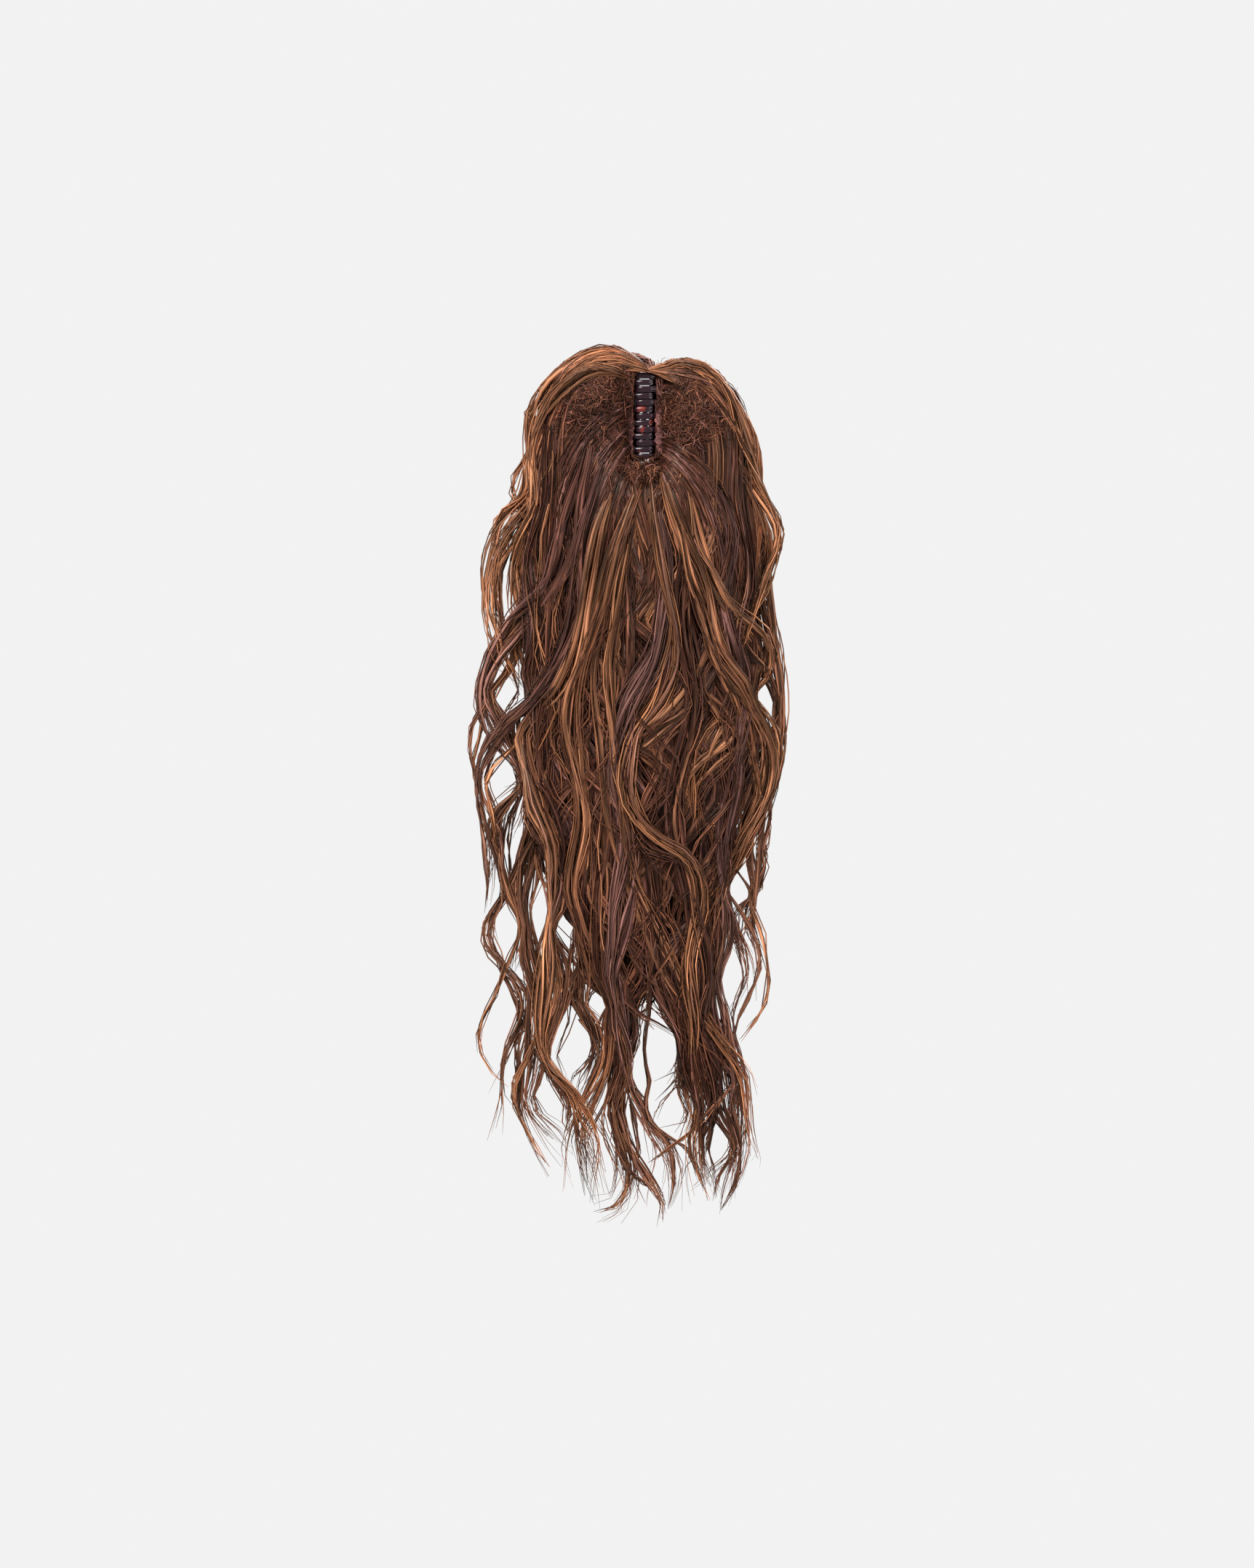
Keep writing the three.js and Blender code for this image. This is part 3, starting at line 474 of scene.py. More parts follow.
# Each lock: its tint, width and layer, and its turns from the root on, across in hundredths of the
# half spread, and down in thousandths of the fall, or up in those of the crown where negative. The
# last five fill the mass between the others.
LOCKS = {
    "left_outer_loop": ("copper", 0.9, 1, [(-3, -660), (-20, -920), (-41, -820), (-60, -470),
        (-72, 0), (-76, 50), (-80, 98), (-98, 140), (-107, 205), (-99, 285), (-84, 335)]),
    "left_inner_sweep": ("copper", 1, 0, [(-6, -500), (-34, -600), (-60, -180), (-72, 40),
        (-72, 110), (-86, 180), (-88, 240), (-80, 310)]),
    "left_cross": ("mauve", 1.1, 1, [(-36, 20), (-48, 120), (-62, 205), (-87, 253), (-105, 300),
        (-109, 350), (-97, 415), (-87, 470), (-90, 520)]),
    "left_second_cross": ("mauve", 0.8, 1, [(-26, 50), (-46, 170), (-50, 270), (-72, 340),
        (-94, 375), (-108, 420), (-108, 470), (-103, 520), (-104, 590)]),
    "left_hook": ("copper", 1, 2, [(-13, 60), (-30, 130), (-40, 240), (-56, 335), (-84, 400),
        (-76, 465), (-61, 530), (-64, 610), (-68, 700), (-69, 775), (-58, 815), (-46, 853),
        (-37.5, 900), (-35, 962)]),
    "left_mass": ("brown", 1.1, 0, [(-50, 30), (-66, 150), (-58, 250), (-66, 360), (-68, 450),
        (-80, 540), (-86, 620), (-76, 700), (-76, 770), (-80, 830), (-70, 885), (-55, 920)]),
    "left_low_loop": ("brown", 0.3, 0, [(-70, 500), (-92, 570), (-109, 635), (-96, 680),
        (-87, 725), (-95, 785), (-98, 840), (-89, 885)]),
    "left_edge": ("brown", 0.5, 0, [(-86, 440), (-106, 500), (-100, 560), (-93, 630),
        (-95, 680)]),
    "centre_left": ("copper", 1, 1, [(-1, 70), (-20, 165), (-32, 245), (-51, 360), (-48, 430),
        (-42, 500), (-48, 600), (-34, 685), (-26, 760), (-38, 830), (-48, 885), (-42, 950)]),
    "centre_long": ("brown", 1, 0, [(-5, 80), (-15, 200), (-14, 290), (-23, 390), (-27, 520),
        (-30, 640), (-21, 740), (-15, 800), (-21, 860), (-12, 930), (-18, 967), (-35, 980)]),
    "centre_return": ("mauve", 0.9, 1, [(7, 80), (15, 210), (8, 295), (-10, 360), (-19, 440),
        (-11, 530), (-19, 620), (-22, 700), (-13, 780), (-6, 830), (8, 870), (18, 910),
        (15, 975)]),
    "longest": ("brown", 0.5, 0, [(-20, 660), (-8, 750), (-20, 840), (-12, 895), (2, 935),
        (12, 965), (9, 998)]),
    "centre_hook": ("copper", 0.65, 2, [(4, 80), (10, 180), (20, 270), (10, 345), (-9, 395),
        (-12, 465), (6, 517), (30, 548), (38, 595), (28, 675), (34, 750), (31, 850), (34, 920),
        (45, 968)]),
    "long_diagonal": ("copper", 1.1, 1, [(-10, 140), (-24, 260), (-27, 370), (-14, 535),
        (-2, 605), (22, 695), (50, 765), (67, 815), (67, 880), (72, 920), (82, 936)]),
    "second_diagonal": ("dark", 1, 0, [(0, 450), (5, 560), (12, 660), (30, 730), (44, 790),
        (50, 860), (57, 900), (48, 965)]),
    "right_long_wave": ("copper", 1, 2, [(11, 60), (20, 120), (37, 215), (50, 290), (74, 355),
        (87, 410), (78, 485), (60, 550), (42, 605), (32, 660)]),
    "right_short_wave": ("copper", 0.75, 1, [(28, 80), (38, 170), (56, 235), (82, 285), (80, 330),
        (50, 380), (36, 440), (37, 520)]),
    "right_outer_edge": ("copper", 0.8, 1, [(6, -600), (24, -740), (43, -600), (58, -240),
        (65, 20), (75, 80), (90, 145), (85, 185), (70, 245), (60, 300)]),
    "right_second_edge": ("brown", 0.8, 0, [(46, 30), (66, 80), (80, 160), (84, 250), (90, 330),
        (93, 385), (85, 460), (68, 530), (58, 600), (66, 665), (60, 745)]),
    "right_centre": ("brown", 1, 1, [(18, 50), (30, 130), (25, 240), (33, 330), (25, 430),
        (20, 510), (32, 590), (40, 680), (36, 770), (44, 850), (40, 900), (46, 965)]),
    "right_mass": ("mauve", 1.1, 0, [(34, 50), (58, 140), (51, 220), (64, 320), (60, 430),
        (50, 530), (56, 630), (53, 730), (64, 820), (65, 900), (52, 973)]),
    "left_fill": ("brown", 0.8, 0, [(-62, 500), (-56, 570), (-60, 640), (-55, 700), (-60, 750),
        (-65, 800), (-60, 860), (-50, 900)]),
    "left_inner_fill": ("dark", 0.8, 0, [(-40, 500), (-46, 580), (-42, 650), (-46, 710),
        (-42, 750), (-50, 800), (-56, 840)]),
    "centre_low_fill": ("brown", 0.7, 0, [(2, 600), (10, 680), (20, 740), (26, 790), (18, 850),
        (8, 880)]),
    "right_low_fill": ("dark", 0.7, 0, [(30, 600), (27, 680), (20, 750), (30, 820), (38, 880),
        (36, 950)]),
    "right_fill": ("brown", 0.6, 0, [(84, 420), (84, 470), (79, 520), (76, 570), (73, 620),
        (76, 660)]),
}
# Each gap between the locks: its middle across and up, and its half width and height, in mm.
GAPS = np.array([
    (-95, -190, 6, 11), (-98, -248, 7, 20), (83, -192, 4, 10), (-72, -340, 4.5, 16),
    (-55, -351, 4.5, 16), (-95, -351, 6, 16), (65, -324, 4, 11), (60, -385, 5, 17),
    (-33, -402, 5, 11), (-48, -435, 8, 22), (12, -430, 5, 16), (-2, -455, 3, 9),
    (18, -477, 7, 13), (-66, -470, 7, 14), (52, -500, 5, 12),
]) / 1000
ROUTE_STEPS = 240
chance = np.random.default_rng(7)


def smooth_route(turns):
    """A curve through the turns, cubic between them, whose slope at each turn is that of the
    line between its neighbours. The root of each gap's length spaces the turns along it."""
    turns = np.asarray(turns, dtype=float)
    gaps = np.sqrt(np.linalg.norm(np.diff(turns, axis=0), axis=1))
    stops = np.concatenate([[0], np.cumsum(gaps)])
    slopes = np.gradient(turns, stops, axis=0)
    at = np.linspace(0, stops[-1], ROUTE_STEPS)
    piece = np.clip(np.searchsorted(stops, at, side="right") - 1, 0, len(gaps) - 1)
    share = ((at - stops[piece]) / gaps[piece])[:, None]
    lead, trail = slopes[piece] * gaps[piece][:, None], slopes[piece + 1] * gaps[piece][:, None]
    points = (turns[piece] * (2 * share ** 3 - 3 * share ** 2 + 1)
              + lead * (share ** 3 - 2 * share ** 2 + share)
              + turns[piece + 1] * (3 * share ** 2 - 2 * share ** 3)
              + trail * (share ** 3 - share ** 2))
    run = np.concatenate([[0], np.cumsum(np.linalg.norm(np.diff(points, axis=0), axis=1))])
    even = np.linspace(0, run[-1], ROUTE_STEPS)
    return np.stack([np.interp(even, run, points[:, axis]) for axis in range(3)], axis=1)


def length_of(route):
    """The length of a route of points."""
    return np.linalg.norm(np.diff(route, axis=0), axis=1).sum()


def on_hair(across, height, facing, off):
    """Points on the front (facing -1) or back (1) of the mass, this far off it."""
    reach = depth_share(across, height) * (FRONT_DEPTH if facing < 0 else BACK_DEPTH)
    if facing < 0:
        reach = beside_clip(across, height, reach)
    return np.stack([across, facing * (reach + off), height], axis=-1)


def curled(route, facing, depth):
    """The route with the depth of a curl: as it crosses one way it comes forward, the other way
    it goes back, by the depth times its slope across. Its root sinks into the hair."""
    slope = np.gradient(route[:, 0]) / (np.linalg.norm(np.gradient(route, axis=0), axis=1) + 1e-9)
    share = np.linspace(0, 1, len(route))
    bent = route.copy()
    bent[:, 1] += facing * depth * slope
    bent[:, 1] -= facing * 0.007 * np.clip(1 - share / 0.07, 0, 1) ** 2
    return bent


def pick_colours(tint, count, base=None, keep=0.0):
    """One colour a strand, from the shades that this tint mixes, by their shares in the order of
    SHADES, and drawn toward a base colour by the share to keep."""
    weights = np.array(TINTS[tint])
    drawn = chance.choice(len(SHADES), size=count, p=weights / weights.sum())
    low, high = np.array(list(SHADES.values()))[drawn].swapaxes(0, 1)
    colours = low + (high - low) * chance.random((count, 1))
    return colours if base is None else colours * (1 - keep) + base * keep


def shade_of(tint):
    """One colour between the two ends of a shade, for a whole lock."""
    low, high = SHADES[tint]
    return low + (high - low) * chance.random()


def pick_tint(**odds):
    """One tint by its odds."""
    return chance.choice(list(odds), p=list(odds.values()))


def parted(points):
    """Strands drawn off each gap, to the side on which each passes its middle, by up to 1.5 half
    widths, less with the distance across and up from its middle."""
    points = points.copy()
    for x, z, half_width, half_height in GAPS:
        level = np.abs(points[..., 2] - z).argmin(axis=1)
        beside = np.take_along_axis(points[..., 0], level[:, None], axis=1) - x
        side = np.where(beside < 0, -1.0, 1.0)
        across = np.clip(1 - side * (points[..., 0] - x) / (3 * half_width), 0, 1)
        near = across * np.exp(-((points[..., 2] - z) / half_height) ** 2)
        points[..., 0] += side * half_width * 1.5 * near
    return points


def frame_of(points):
    """Unit vectors across and off each route of points, square to it and each other."""
    along = np.gradient(points, axis=-2)
    along /= np.linalg.norm(along, axis=-1, keepdims=True) + 1e-12
    aside = np.cross(along, [0.0, 1.0, 0.0])
    aside /= np.linalg.norm(aside, axis=-1, keepdims=True) + 1e-9
    return aside, np.cross(aside, along)


def carried(route, share):
    """The route and its vectors across and off, read at these shares of its length."""
    stops = np.linspace(0, 1, len(route))
    return [np.stack([np.interp(share, stops, part[:, axis]) for axis in range(3)], axis=-1)
            for part in (route, *frame_of(route))]


def fullness(share):
    """How full a lock is along its length: it opens from the root and thins to the tip."""
    thinned = np.maximum(0.1, np.clip(1 - share ** 2.6, 0, None) ** 0.6)
    return thinned * np.minimum(1, 0.3 + 4 * share)


def lightened(share):
    """How light a strand is along its length: darker at the root, even from the middle to three
    quarters of the way, then lighter and more golden at the tip."""
    tip = np.clip(share[..., None] - 0.72, 0, 1) / 0.28
    root = np.minimum(1.02, 0.76 + 0.52 * share[..., None])
    return root * (1 + tip * np.array([0.42, 0.32, 0.14]))


def lit_through(colour, points):
    """The colour with the light that comes through the fibre: none within the mass, and off its
    edge a quarter more and a golden brown on top."""
    out = np.clip(1 - depth_share(points[..., 0], points[..., 2]) / 0.3, 0, 1)[..., None]
    return colour * (1 + 0.2 * out) + out * np.array([0.062, 0.032, 0.016])


def strands_of(route, half_width, half_depth, count, tint, base, loose):
    """Strands round a route, each at a radius and a slowly drifting turn in an oval section that
    narrows to the tip. They end at different places and stray by loose in slow waves."""
    def drawn(low, high):
        return chance.uniform(low, high, (count, 1))

    steps = max(5, int(length_of(route) / STRAND_STEP))
    ends = 1 - 0.28 * chance.random((count, 1)) ** 1.5
    starts = 0.05 * chance.random((count, 1))
    share = starts + np.linspace(0, 1, steps)[None, :] * (ends - starts)
    centre, aside, off = carried(route, share)
    radius = np.sqrt(chance.random((count, 1)))
    drift = drawn(0, 2 * np.pi) + drawn(-2.2, 2.2) * share
    stray = sum(np.sin(drawn(4, 24) * share + drawn(0, 6.3)) for _ in range(3)) * loose
    stray = stray * np.minimum(1, 3 * share) * (1.1 - 0.5 * share)
    lift = np.sin(drawn(4, 18) * share + drawn(0, 6.3)) * loose
    full = fullness(share)
    sway = radius * np.cos(drift) * half_width * full + stray
    rise = radius * np.sin(drift) * half_depth * full + lift
    points = centre + aside * sway[..., None] + off * rise[..., None]
    taper = np.minimum(1, (1 - np.linspace(0, 1, steps)) * 7 + 0.2)
    girth = STRAND_RADIUS * drawn(0.7, 1.3) * taper
    return points, girth, pick_colours(tint, count, base, 0.35)[:, None, :] * lightened(share)


def flat_of(route, half_width, half_depth, tint, base, end=1.0):
    """A flat sub-lock as far down its route as end: its centres, half width and half depth as
    vectors that turn slowly round it, and its colours."""
    steps = max(6, int(length_of(route) * end / FLAT_STEP))
    share = np.linspace(0, end, steps)
    centre, aside, off = carried(route, share)
    turn = chance.uniform(-0.5, 0.5)
    turn = turn + 0.35 * np.sin(chance.uniform(4, 11) * share + chance.uniform(0, 6))
    breathe = 1 + 0.16 * np.sin(chance.uniform(9, 20) * share + chance.uniform(0, 6))
    full = fullness(np.linspace(0, 1, steps)) * breathe
    wide = aside * np.cos(turn)[:, None] + off * np.sin(turn)[:, None]
    deep = off * np.cos(turn)[:, None] - aside * np.sin(turn)[:, None]
    colour = pick_colours(tint, 1, base, 0.5)[0] * lightened(share)
    return centre, wide * (half_width * full)[:, None], deep * (half_depth * full)[:, None], colour


def clear_of_hinge(ring, side):
    """Rings moved out of the way of the other half as the clip opens: behind the hinge each stays
    on its own side of the back parting, and in front of it this soon stops counting."""
    behind = ring[..., 1] - HINGE_Y
    least = np.where(behind > 0, behind * np.tan(BACK_PARTING), behind * 4)
    ring[..., 0] += side * np.clip(least - side * ring[..., 0], 0, None).max(axis=2, keepdims=True)


def tube_mesh(name, side, tubes):
    """Closed tubes in one mesh, for the half on this side. Each tube is its centres, two radius
    vectors and colour at every step, and the number of sides: a ring is the centre plus one radius
    times the cosine and the other times the sine of even turns. Each corner also keeps its place
    in the section and its run along the tube, from which the fibre lines and the painted shine and
    shade bands are drawn."""
    corners, walls, ends, tints, places, start = [], [], [], [], [], 0
    for centre, wide, deep, colour, sides in tubes:
        count, steps, _ = centre.shape
        centre = parted(centre)
        colour = np.broadcast_to(lit_through(colour, centre), centre.shape)
        turns = 2 * np.pi * (np.arange(sides) + 0.25) / sides
        cosine, sine = np.cos(turns)[:, None], np.sin(turns)[:, None]
        ring = centre[:, :, None] + wide[:, :, None] * cosine + deep[:, :, None] * sine
        clear_of_hinge(ring, side)
        corners.append(ring.reshape(-1, 3))
        tints.append(np.repeat(colour.reshape(-1, 3), sides, axis=0))
        pace = np.linalg.norm(np.diff(centre, axis=1, prepend=centre[:, :1]), axis=2)
        girth, thick = (np.linalg.norm(part, axis=2).max(axis=1)[:, None, None]
                        for part in (wide, deep))
        seed = chance.uniform(0, 9, (count, 1, 1))
        place = np.broadcast_arrays(seed + girth * cosine[:, 0], seed + thick * sine[:, 0],
                                    seed + np.cumsum(pace, axis=1)[:, :, None])
        places.append(np.stack(place, axis=-1).reshape(-1, 3))
        quads, caps = tube_faces(count, steps, sides, start)
        walls.append(quads)
        ends.append(caps)
        start += len(corners[-1])
    thing = mesh_object(name, np.concatenate(corners), walls + ends)
    tints = np.clip(np.concatenate(tints), 0, 1)
    rgba = np.column_stack([tints, np.ones(len(tints))]).astype(np.float32)
    tint = thing.data.color_attributes.new("fibre_tint", "FLOAT_COLOR", "POINT")
    tint.data.foreach_set("color", rgba.ravel())
    place = thing.data.attributes.new("fibre_place", "FLOAT_VECTOR", "POINT")
    place.data.foreach_set("vector", np.concatenate(places).astype(np.float32).ravel())
    return thing


def flat_tubes(flats):
    """Flat sub-locks as tubes of six sides."""
    return [(*(part[None] for part in flat), 6) for flat in flats]


def strand_tubes(groups):
    """Groups of strands as tubes of three sides, their radius vectors square to the strand."""
    tubes = []
    for points, girth, colour in groups:
        aside, off = frame_of(points)
        tubes.append((points, aside * girth[..., None], off * girth[..., None], colour, 3))
    return tubes


def sub_locks(drawn, flat, strand, count, loose, end=0.95):
    """Tubes of thin sub-locks: the flats, of this half width and depth, and the strands round
    them. drawn gives the route, tint and gain on the colour of each."""
    flats, strands = [], []
    for route, tint, gain in drawn:
        base = shade_of(tint) * gain
        flats.append(flat_of(route, *flat, tint, base, end))
        strands.append(strands_of(route, *strand, count, tint, base, loose))
    return flat_tubes(flats), strand_tubes(strands)


def fibre_lines_and_painted_light():
    """Node group: three sizes of noise drawn out along the fibre, from single fibres to whole
    bands. The two finer sizes are the fibres' uneven tone. The broadest, long bands as wide as a
    sub-lock, is painted shine and shade along the locks as well as uneven colour. Puts out a shade
    near 1, and a height for the bump."""
    group = bpy.data.node_groups.new("fibre_lines_and_painted_light", "ShaderNodeTree")
    for name in ("Shade", "Height"):
        group.interface.new_socket(name, in_out="OUTPUT", socket_type="NodeSocketFloat")
    out = add_node(group, "NodeGroupOutput")
    place = add_node(group, "ShaderNodeAttribute", attribute_name="fibre_place")
    total = None
    # The last size, long bands as wide as a sub-lock, is painted shine and shade along with uneven
    # colour.
    for size, drawn, low, high in ((760, 20, 0.35, 1.6), (330, 14, 0.4, 1.75), (24, 17, 0.6, 1.45)):
        stretch = add_node(group, "ShaderNodeMapping", {"Scale": (size, size, drawn)})
        lines = add_node(group, "ShaderNodeTexNoise", {"Scale": 1, "Detail": 2})
        shade = add_node(group, "ShaderNodeMapRange", {
            "From Min": 0.36, "From Max": 0.64, "To Min": low, "To Max": high})
        join(group, (place, "Vector", stretch, "Vector"), (stretch, "Vector", lines, "Vector"),
             (lines, "Fac", shade, "Value"))
        if total is None:
            total = (shade, "Result")
            join(group, (lines, "Fac", out, "Height"))
        else:
            product = add_node(group, "ShaderNodeMath", operation="MULTIPLY")
            join(group, (*total, product, 0), (shade, "Result", product, 1))
            total = (product, 0)
    join(group, (*total, out, "Shade"))
    return group


def fibre_material():
    """Heat-set synthetic fibre: the lock's own colour in fine lines, with painted shine and shade
    in long bands, and a soft warm shine.
    """
    material, tree, shader = new_material("hair_fibre", {
        "Roughness": 0.36, "IOR": 1.38, "Specular IOR Level": 0.6,
        "Specular Tint": (1.0, 0.78, 0.62, 1)})
    tint = add_node(tree, "ShaderNodeAttribute", attribute_name="fibre_tint")
    # Fibre lines and painted shine and shade bands scale the lock's colour.
    lines = add_node(tree, "ShaderNodeGroup", node_tree=fibre_lines_and_painted_light())
    shade = add_node(tree, "ShaderNodeVectorMath", operation="SCALE")
    bump = add_node(tree, "ShaderNodeBump", {"Strength": 1.0, "Distance": 0.0011})
    join(tree, (tint, "Color", shade, 0),
         (lines, "Shade", shade, "Scale"),
         (shade, "Vector", shader, "Base Color"),
         (lines, "Height", bump, "Height"),
         (bump, "Normal", shader, "Normal"))
    return material


fibre = fibre_material()


def add_hair(name, half, *groups):
    """One piece of hair from these groups of tubes, which rides on that half of the clip."""
    thing = tube_mesh(name + "_" + half, HALVES[half][0], sum(groups, []))
    settle(thing, half, fibre)


def part_lock(route, width, tint, flats, strands):
    """Adds to the two lists the flat sub-locks and strands of one lock. They are set round its
    middle, wander a little and spread toward the tip."""
    base = shade_of(tint)
    share = np.linspace(0, 1, len(route))
    run = share * length_of(route)
    aside, off = frame_of(route)
    subs = max(2, int(round(7.5 * width)))
    for sub in range(subs):
        turn = 2 * np.pi * sub / subs + chance.uniform(-0.4, 0.4) + chance.uniform(-4, 4) * share
        fade = np.minimum(1, 3 * share + 0.3) * np.sqrt(1.02 - 0.8 * share ** 3)
        low = np.clip((share - 0.7) / 0.3, 0, 1)
        astray = chance.normal(0, 0.007) * low ** 2
        astray += chance.normal(0, 0.003) * np.sin(7 * low + chance.uniform(0, 6)) * low
        wave = run * 2 * np.pi / chance.uniform(0.06, 0.13) + chance.uniform(0, 6)
        sway = np.cos(turn) * LOCK_HALF_WIDTH * width * 0.72 * fade
        sway = sway + WANDER * np.sin(wave) * np.minimum(1, 5 * share)
        rise = np.sin(turn) * LOCK_HALF_DEPTH * width * 0.75 * fade
        own = route + aside * (sway + astray)[:, None] + off * rise[:, None]
        end = chance.uniform(0.78, 0.97)
        half_width = (0.0006 + LOCK_HALF_WIDTH * width * 0.15) * chance.uniform(0.5, 1.3)
        half_depth = 0.0004 + LOCK_HALF_DEPTH * width * 0.18
        flats.append(flat_of(own, half_width, half_depth, tint, base, end))
        strands.append(strands_of(own, 0.0008 + LOCK_HALF_WIDTH * width * 0.42,
                                  0.0006 + LOCK_HALF_DEPTH * width * 0.55, 4, tint, base, 0.0012))


def lock_turns(turns):
    """The turns of a row in metres across and up."""
    across, down = np.array(turns).T / [[100], [1000]]
    return across * HALF_SPREAD, height_of(down)


def front_locks(half):
    """The flats and strands of each lock rooted on this half, and of two thinner companions on
    the same turns, each moved a little."""
    side = HALVES[half][0]
    flats, strands = [], []
    for tint, width, layer, turns in LOCKS.values():
        across, height = lock_turns(turns)
        if (across[0] < 0) != (side < 0):
            continue
        handed = chance.choice([-1, 1])
        route = smooth_route(on_hair(across, height, -1, layer * LAYER_STEP))
        part_lock(curled(route, -1, handed * CURL_DEPTH), width, tint, flats, strands)
        for _ in range(2):
            start = chance.integers(0, 3)
            finish = len(turns) - chance.integers(0, 2)
            moved = across * (1 - 0.07 * np.abs(chance.normal(0, 1, len(across))))
            moved += chance.normal(0, 0.0025, len(across))
            level = height + chance.normal(0, 0.006, len(height)) * (height < 0)
            off = (layer - chance.uniform(0.4, 1.6)) * LAYER_STEP
            route = smooth_route(on_hair(moved, level, -1, off)[start:finish])
            other = chance.choice([tint, "brown", "dark"])
            thinner = width * chance.uniform(0.3, 0.55)
            part_lock(curled(route, -1, handed * CURL_DEPTH), thinner, other, flats, strands)
    return flat_tubes(flats), strand_tubes(strands)


for half in HALVES:
    flats, strands = front_locks(half)
    add_hair("front_locks", half, flats)
    add_hair("front_strands", half, strands)


# The body of the hair between the locks: wavy sub-locks side by side. They rise from the edge of
# the clip, fan over the mound and hang down the front and the back.
WAVE_LENGTH = 0.084
WAVE_REACH = 0.015
BELOW_CLIP = 70
LOOSE_GROUPS = 11


def bundle_wave():
    """What the lanes of a bundle share: distance off the mass, the wave's phase, length and
    reach, the depth of the curl, and the share of the fall at which it ends."""
    return {"off": chance.uniform(-0.004, 0.001), "phase": chance.uniform(-1.5, 1.5),
            "wave": WAVE_LENGTH * chance.uniform(0.9, 1.12),
            "reach": WAVE_REACH * chance.uniform(0.6, 1.4),
            "curl": CURL_DEPTH * chance.uniform(-0.7, 0.7),
            "end": 1 - 0.45 * chance.random() ** 1.3}


def lane_route(half, lane, facing, shared):
    """A route down the mass, at a lane from 0 at the parting to 1 at the outer edge: from a root
    on the clip's edge over a crest and a shoulder set by the lane, then at its share of the width,
    swung by its bundle's sine, which grows down the fall, and by a slower one of its own."""
    def over(*values):
        return np.interp(lane, [0, 0.2, 0.5, 0.8, 1], values)

    side, sections = HALVES[half]
    top = height_of(sections[0, 0])
    crest = 0.5 * (sections[0, 1] + sections[0, 2]) * HALF_SPREAD
    start = 0.0085 if facing < 0 else 0.0115
    root_height = over(-0.036, -0.027, -0.001, 0.025, 0.033)
    lift = (top - 0.0345) * lane ** 2 - 0.004 * (1 - lane)
    turns = [
        (start, root_height),
        (start + 0.001 + (crest - start) * lane ** 1.2, root_height + lift),
        (over(0.007, 0.018, 0.033, 0.048, 0.056), over(-0.046, -0.037, -0.008, 0.021, top - 0.014)),
        (over(0.005, 0.022, 0.04, 0.058, 0.067), over(-0.054, -0.049, -0.027, -0.002, 0.006))]
    end = height_of(sections[-1, 0]) * shared["end"] * chance.uniform(0.92, 1.0)
    heights = np.arange(-0.06, end, -0.02)
    inner, outer, _ = section_at(sections, heights)
    share = 0.02 + 0.94 * lane
    inner = np.maximum(inner, np.interp(heights, [-0.15, -0.06], [-0.05, 0.0]))
    across = (inner + (outer - inner) * share) * HALF_SPREAD
    grow = np.clip((-heights - 0.03) / 0.17, 0.05, 1)
    around = 2 * np.pi * heights
    swing = shared["reach"] * np.sin(around / shared["wave"] + 9 * lane + shared["phase"])
    drift = 0.0045 * np.sin(around / chance.uniform(0.13, 0.22) + chance.uniform(0, 6.3))
    across = across + (swing * (1 - 0.75 * lane ** 3) + drift * (1 - 0.5 * lane ** 3)) * grow
    flat = np.array(turns + list(zip(across, heights)))
    off = shared["off"] + chance.uniform(-0.0012, 0.0012)
    points = on_hair(side * flat[:, 0], flat[:, 1], facing, off)
    return curled(smooth_route(points), facing, shared["curl"])


def body_routes(half, facing, bundles):
    """Bundles of four lanes, evenly spread over one half, front or back."""
    for number in range(bundles):
        shared = bundle_wave()
        tint = pick_tint(brown=0.42, dark=0.3, mauve=0.14, copper=0.14)
        for member in range(4):
            lane = (number + (member + chance.uniform(0, 1)) / 4) / bundles
            if facing > 0:
                lane = 0.05 + 0.95 * lane
            yield lane_route(half, lane, facing, shared), tint, 1


def loose_strands(half):
    """Loose strands below the clip, which lie over the front lanes on waves of their own."""
    for _ in range(LOOSE_GROUPS):
        shared = bundle_wave()
        shared["off"], shared["reach"] = 0.0045, 0.8 * shared["reach"]
        route = lane_route(half, chance.random(), -1, shared)[BELOW_CLIP:]
        tint = chance.choice(["copper", "brown"])
        yield strands_of(route, 0.0034, 0.0016, 3, tint, shade_of(tint), 0.0012)


for half in HALVES:
    for place, facing, bundles, count in (("front", -1, 17, 5), ("back", 1, 13, 3)):
        routes = body_routes(half, facing, bundles)
        flats, strands = sub_locks(routes, (0.0022, 0.0012), (0.005, 0.0022), count, 0.0011, 1)
        if facing < 0:
            strands += strand_tubes(loose_strands(half))
        add_hair(place + "_body", half, flats)
        add_hair(place + "_body_strands", half, strands)


# The side sweep: straighter hair that is sewn along the clip's edge and runs out and down over
# the lower part of each mound, before it turns down into the waves.
SIDE_SWEEP = {"left": (0.018, -0.034, 44), "right": (-0.014, -0.036, 20)}


def side_sweep(half):
    """Routes with roots spread down the clip's edge. The higher its root, the further out a
    sub-lock runs before it turns down."""
    side = HALVES[half][0]
    high, low, count = SIDE_SWEEP[half]
    for number in range(count):
        share = (number + chance.uniform(0, 1)) / count
        start = high + (low - high) * share
        shorter = share * np.array([0, 0.015, 0.03, 0.038, 0.038])
        reach = np.array([0.0098, 0.028, 0.049, 0.065, 0.071]) - shorter
        reach = reach * chance.uniform(0.95, 1.05)
        height = start + np.array([0.0, -0.01, -0.029, -0.06, -0.105])
        off = chance.uniform(0.0005, 0.0025)
        route = curled(smooth_route(on_hair(side * reach, height, -1, off)), -1, CURL_DEPTH * 0.3)
        yield route, pick_tint(brown=0.4, dark=0.25, mauve=0.35), 1


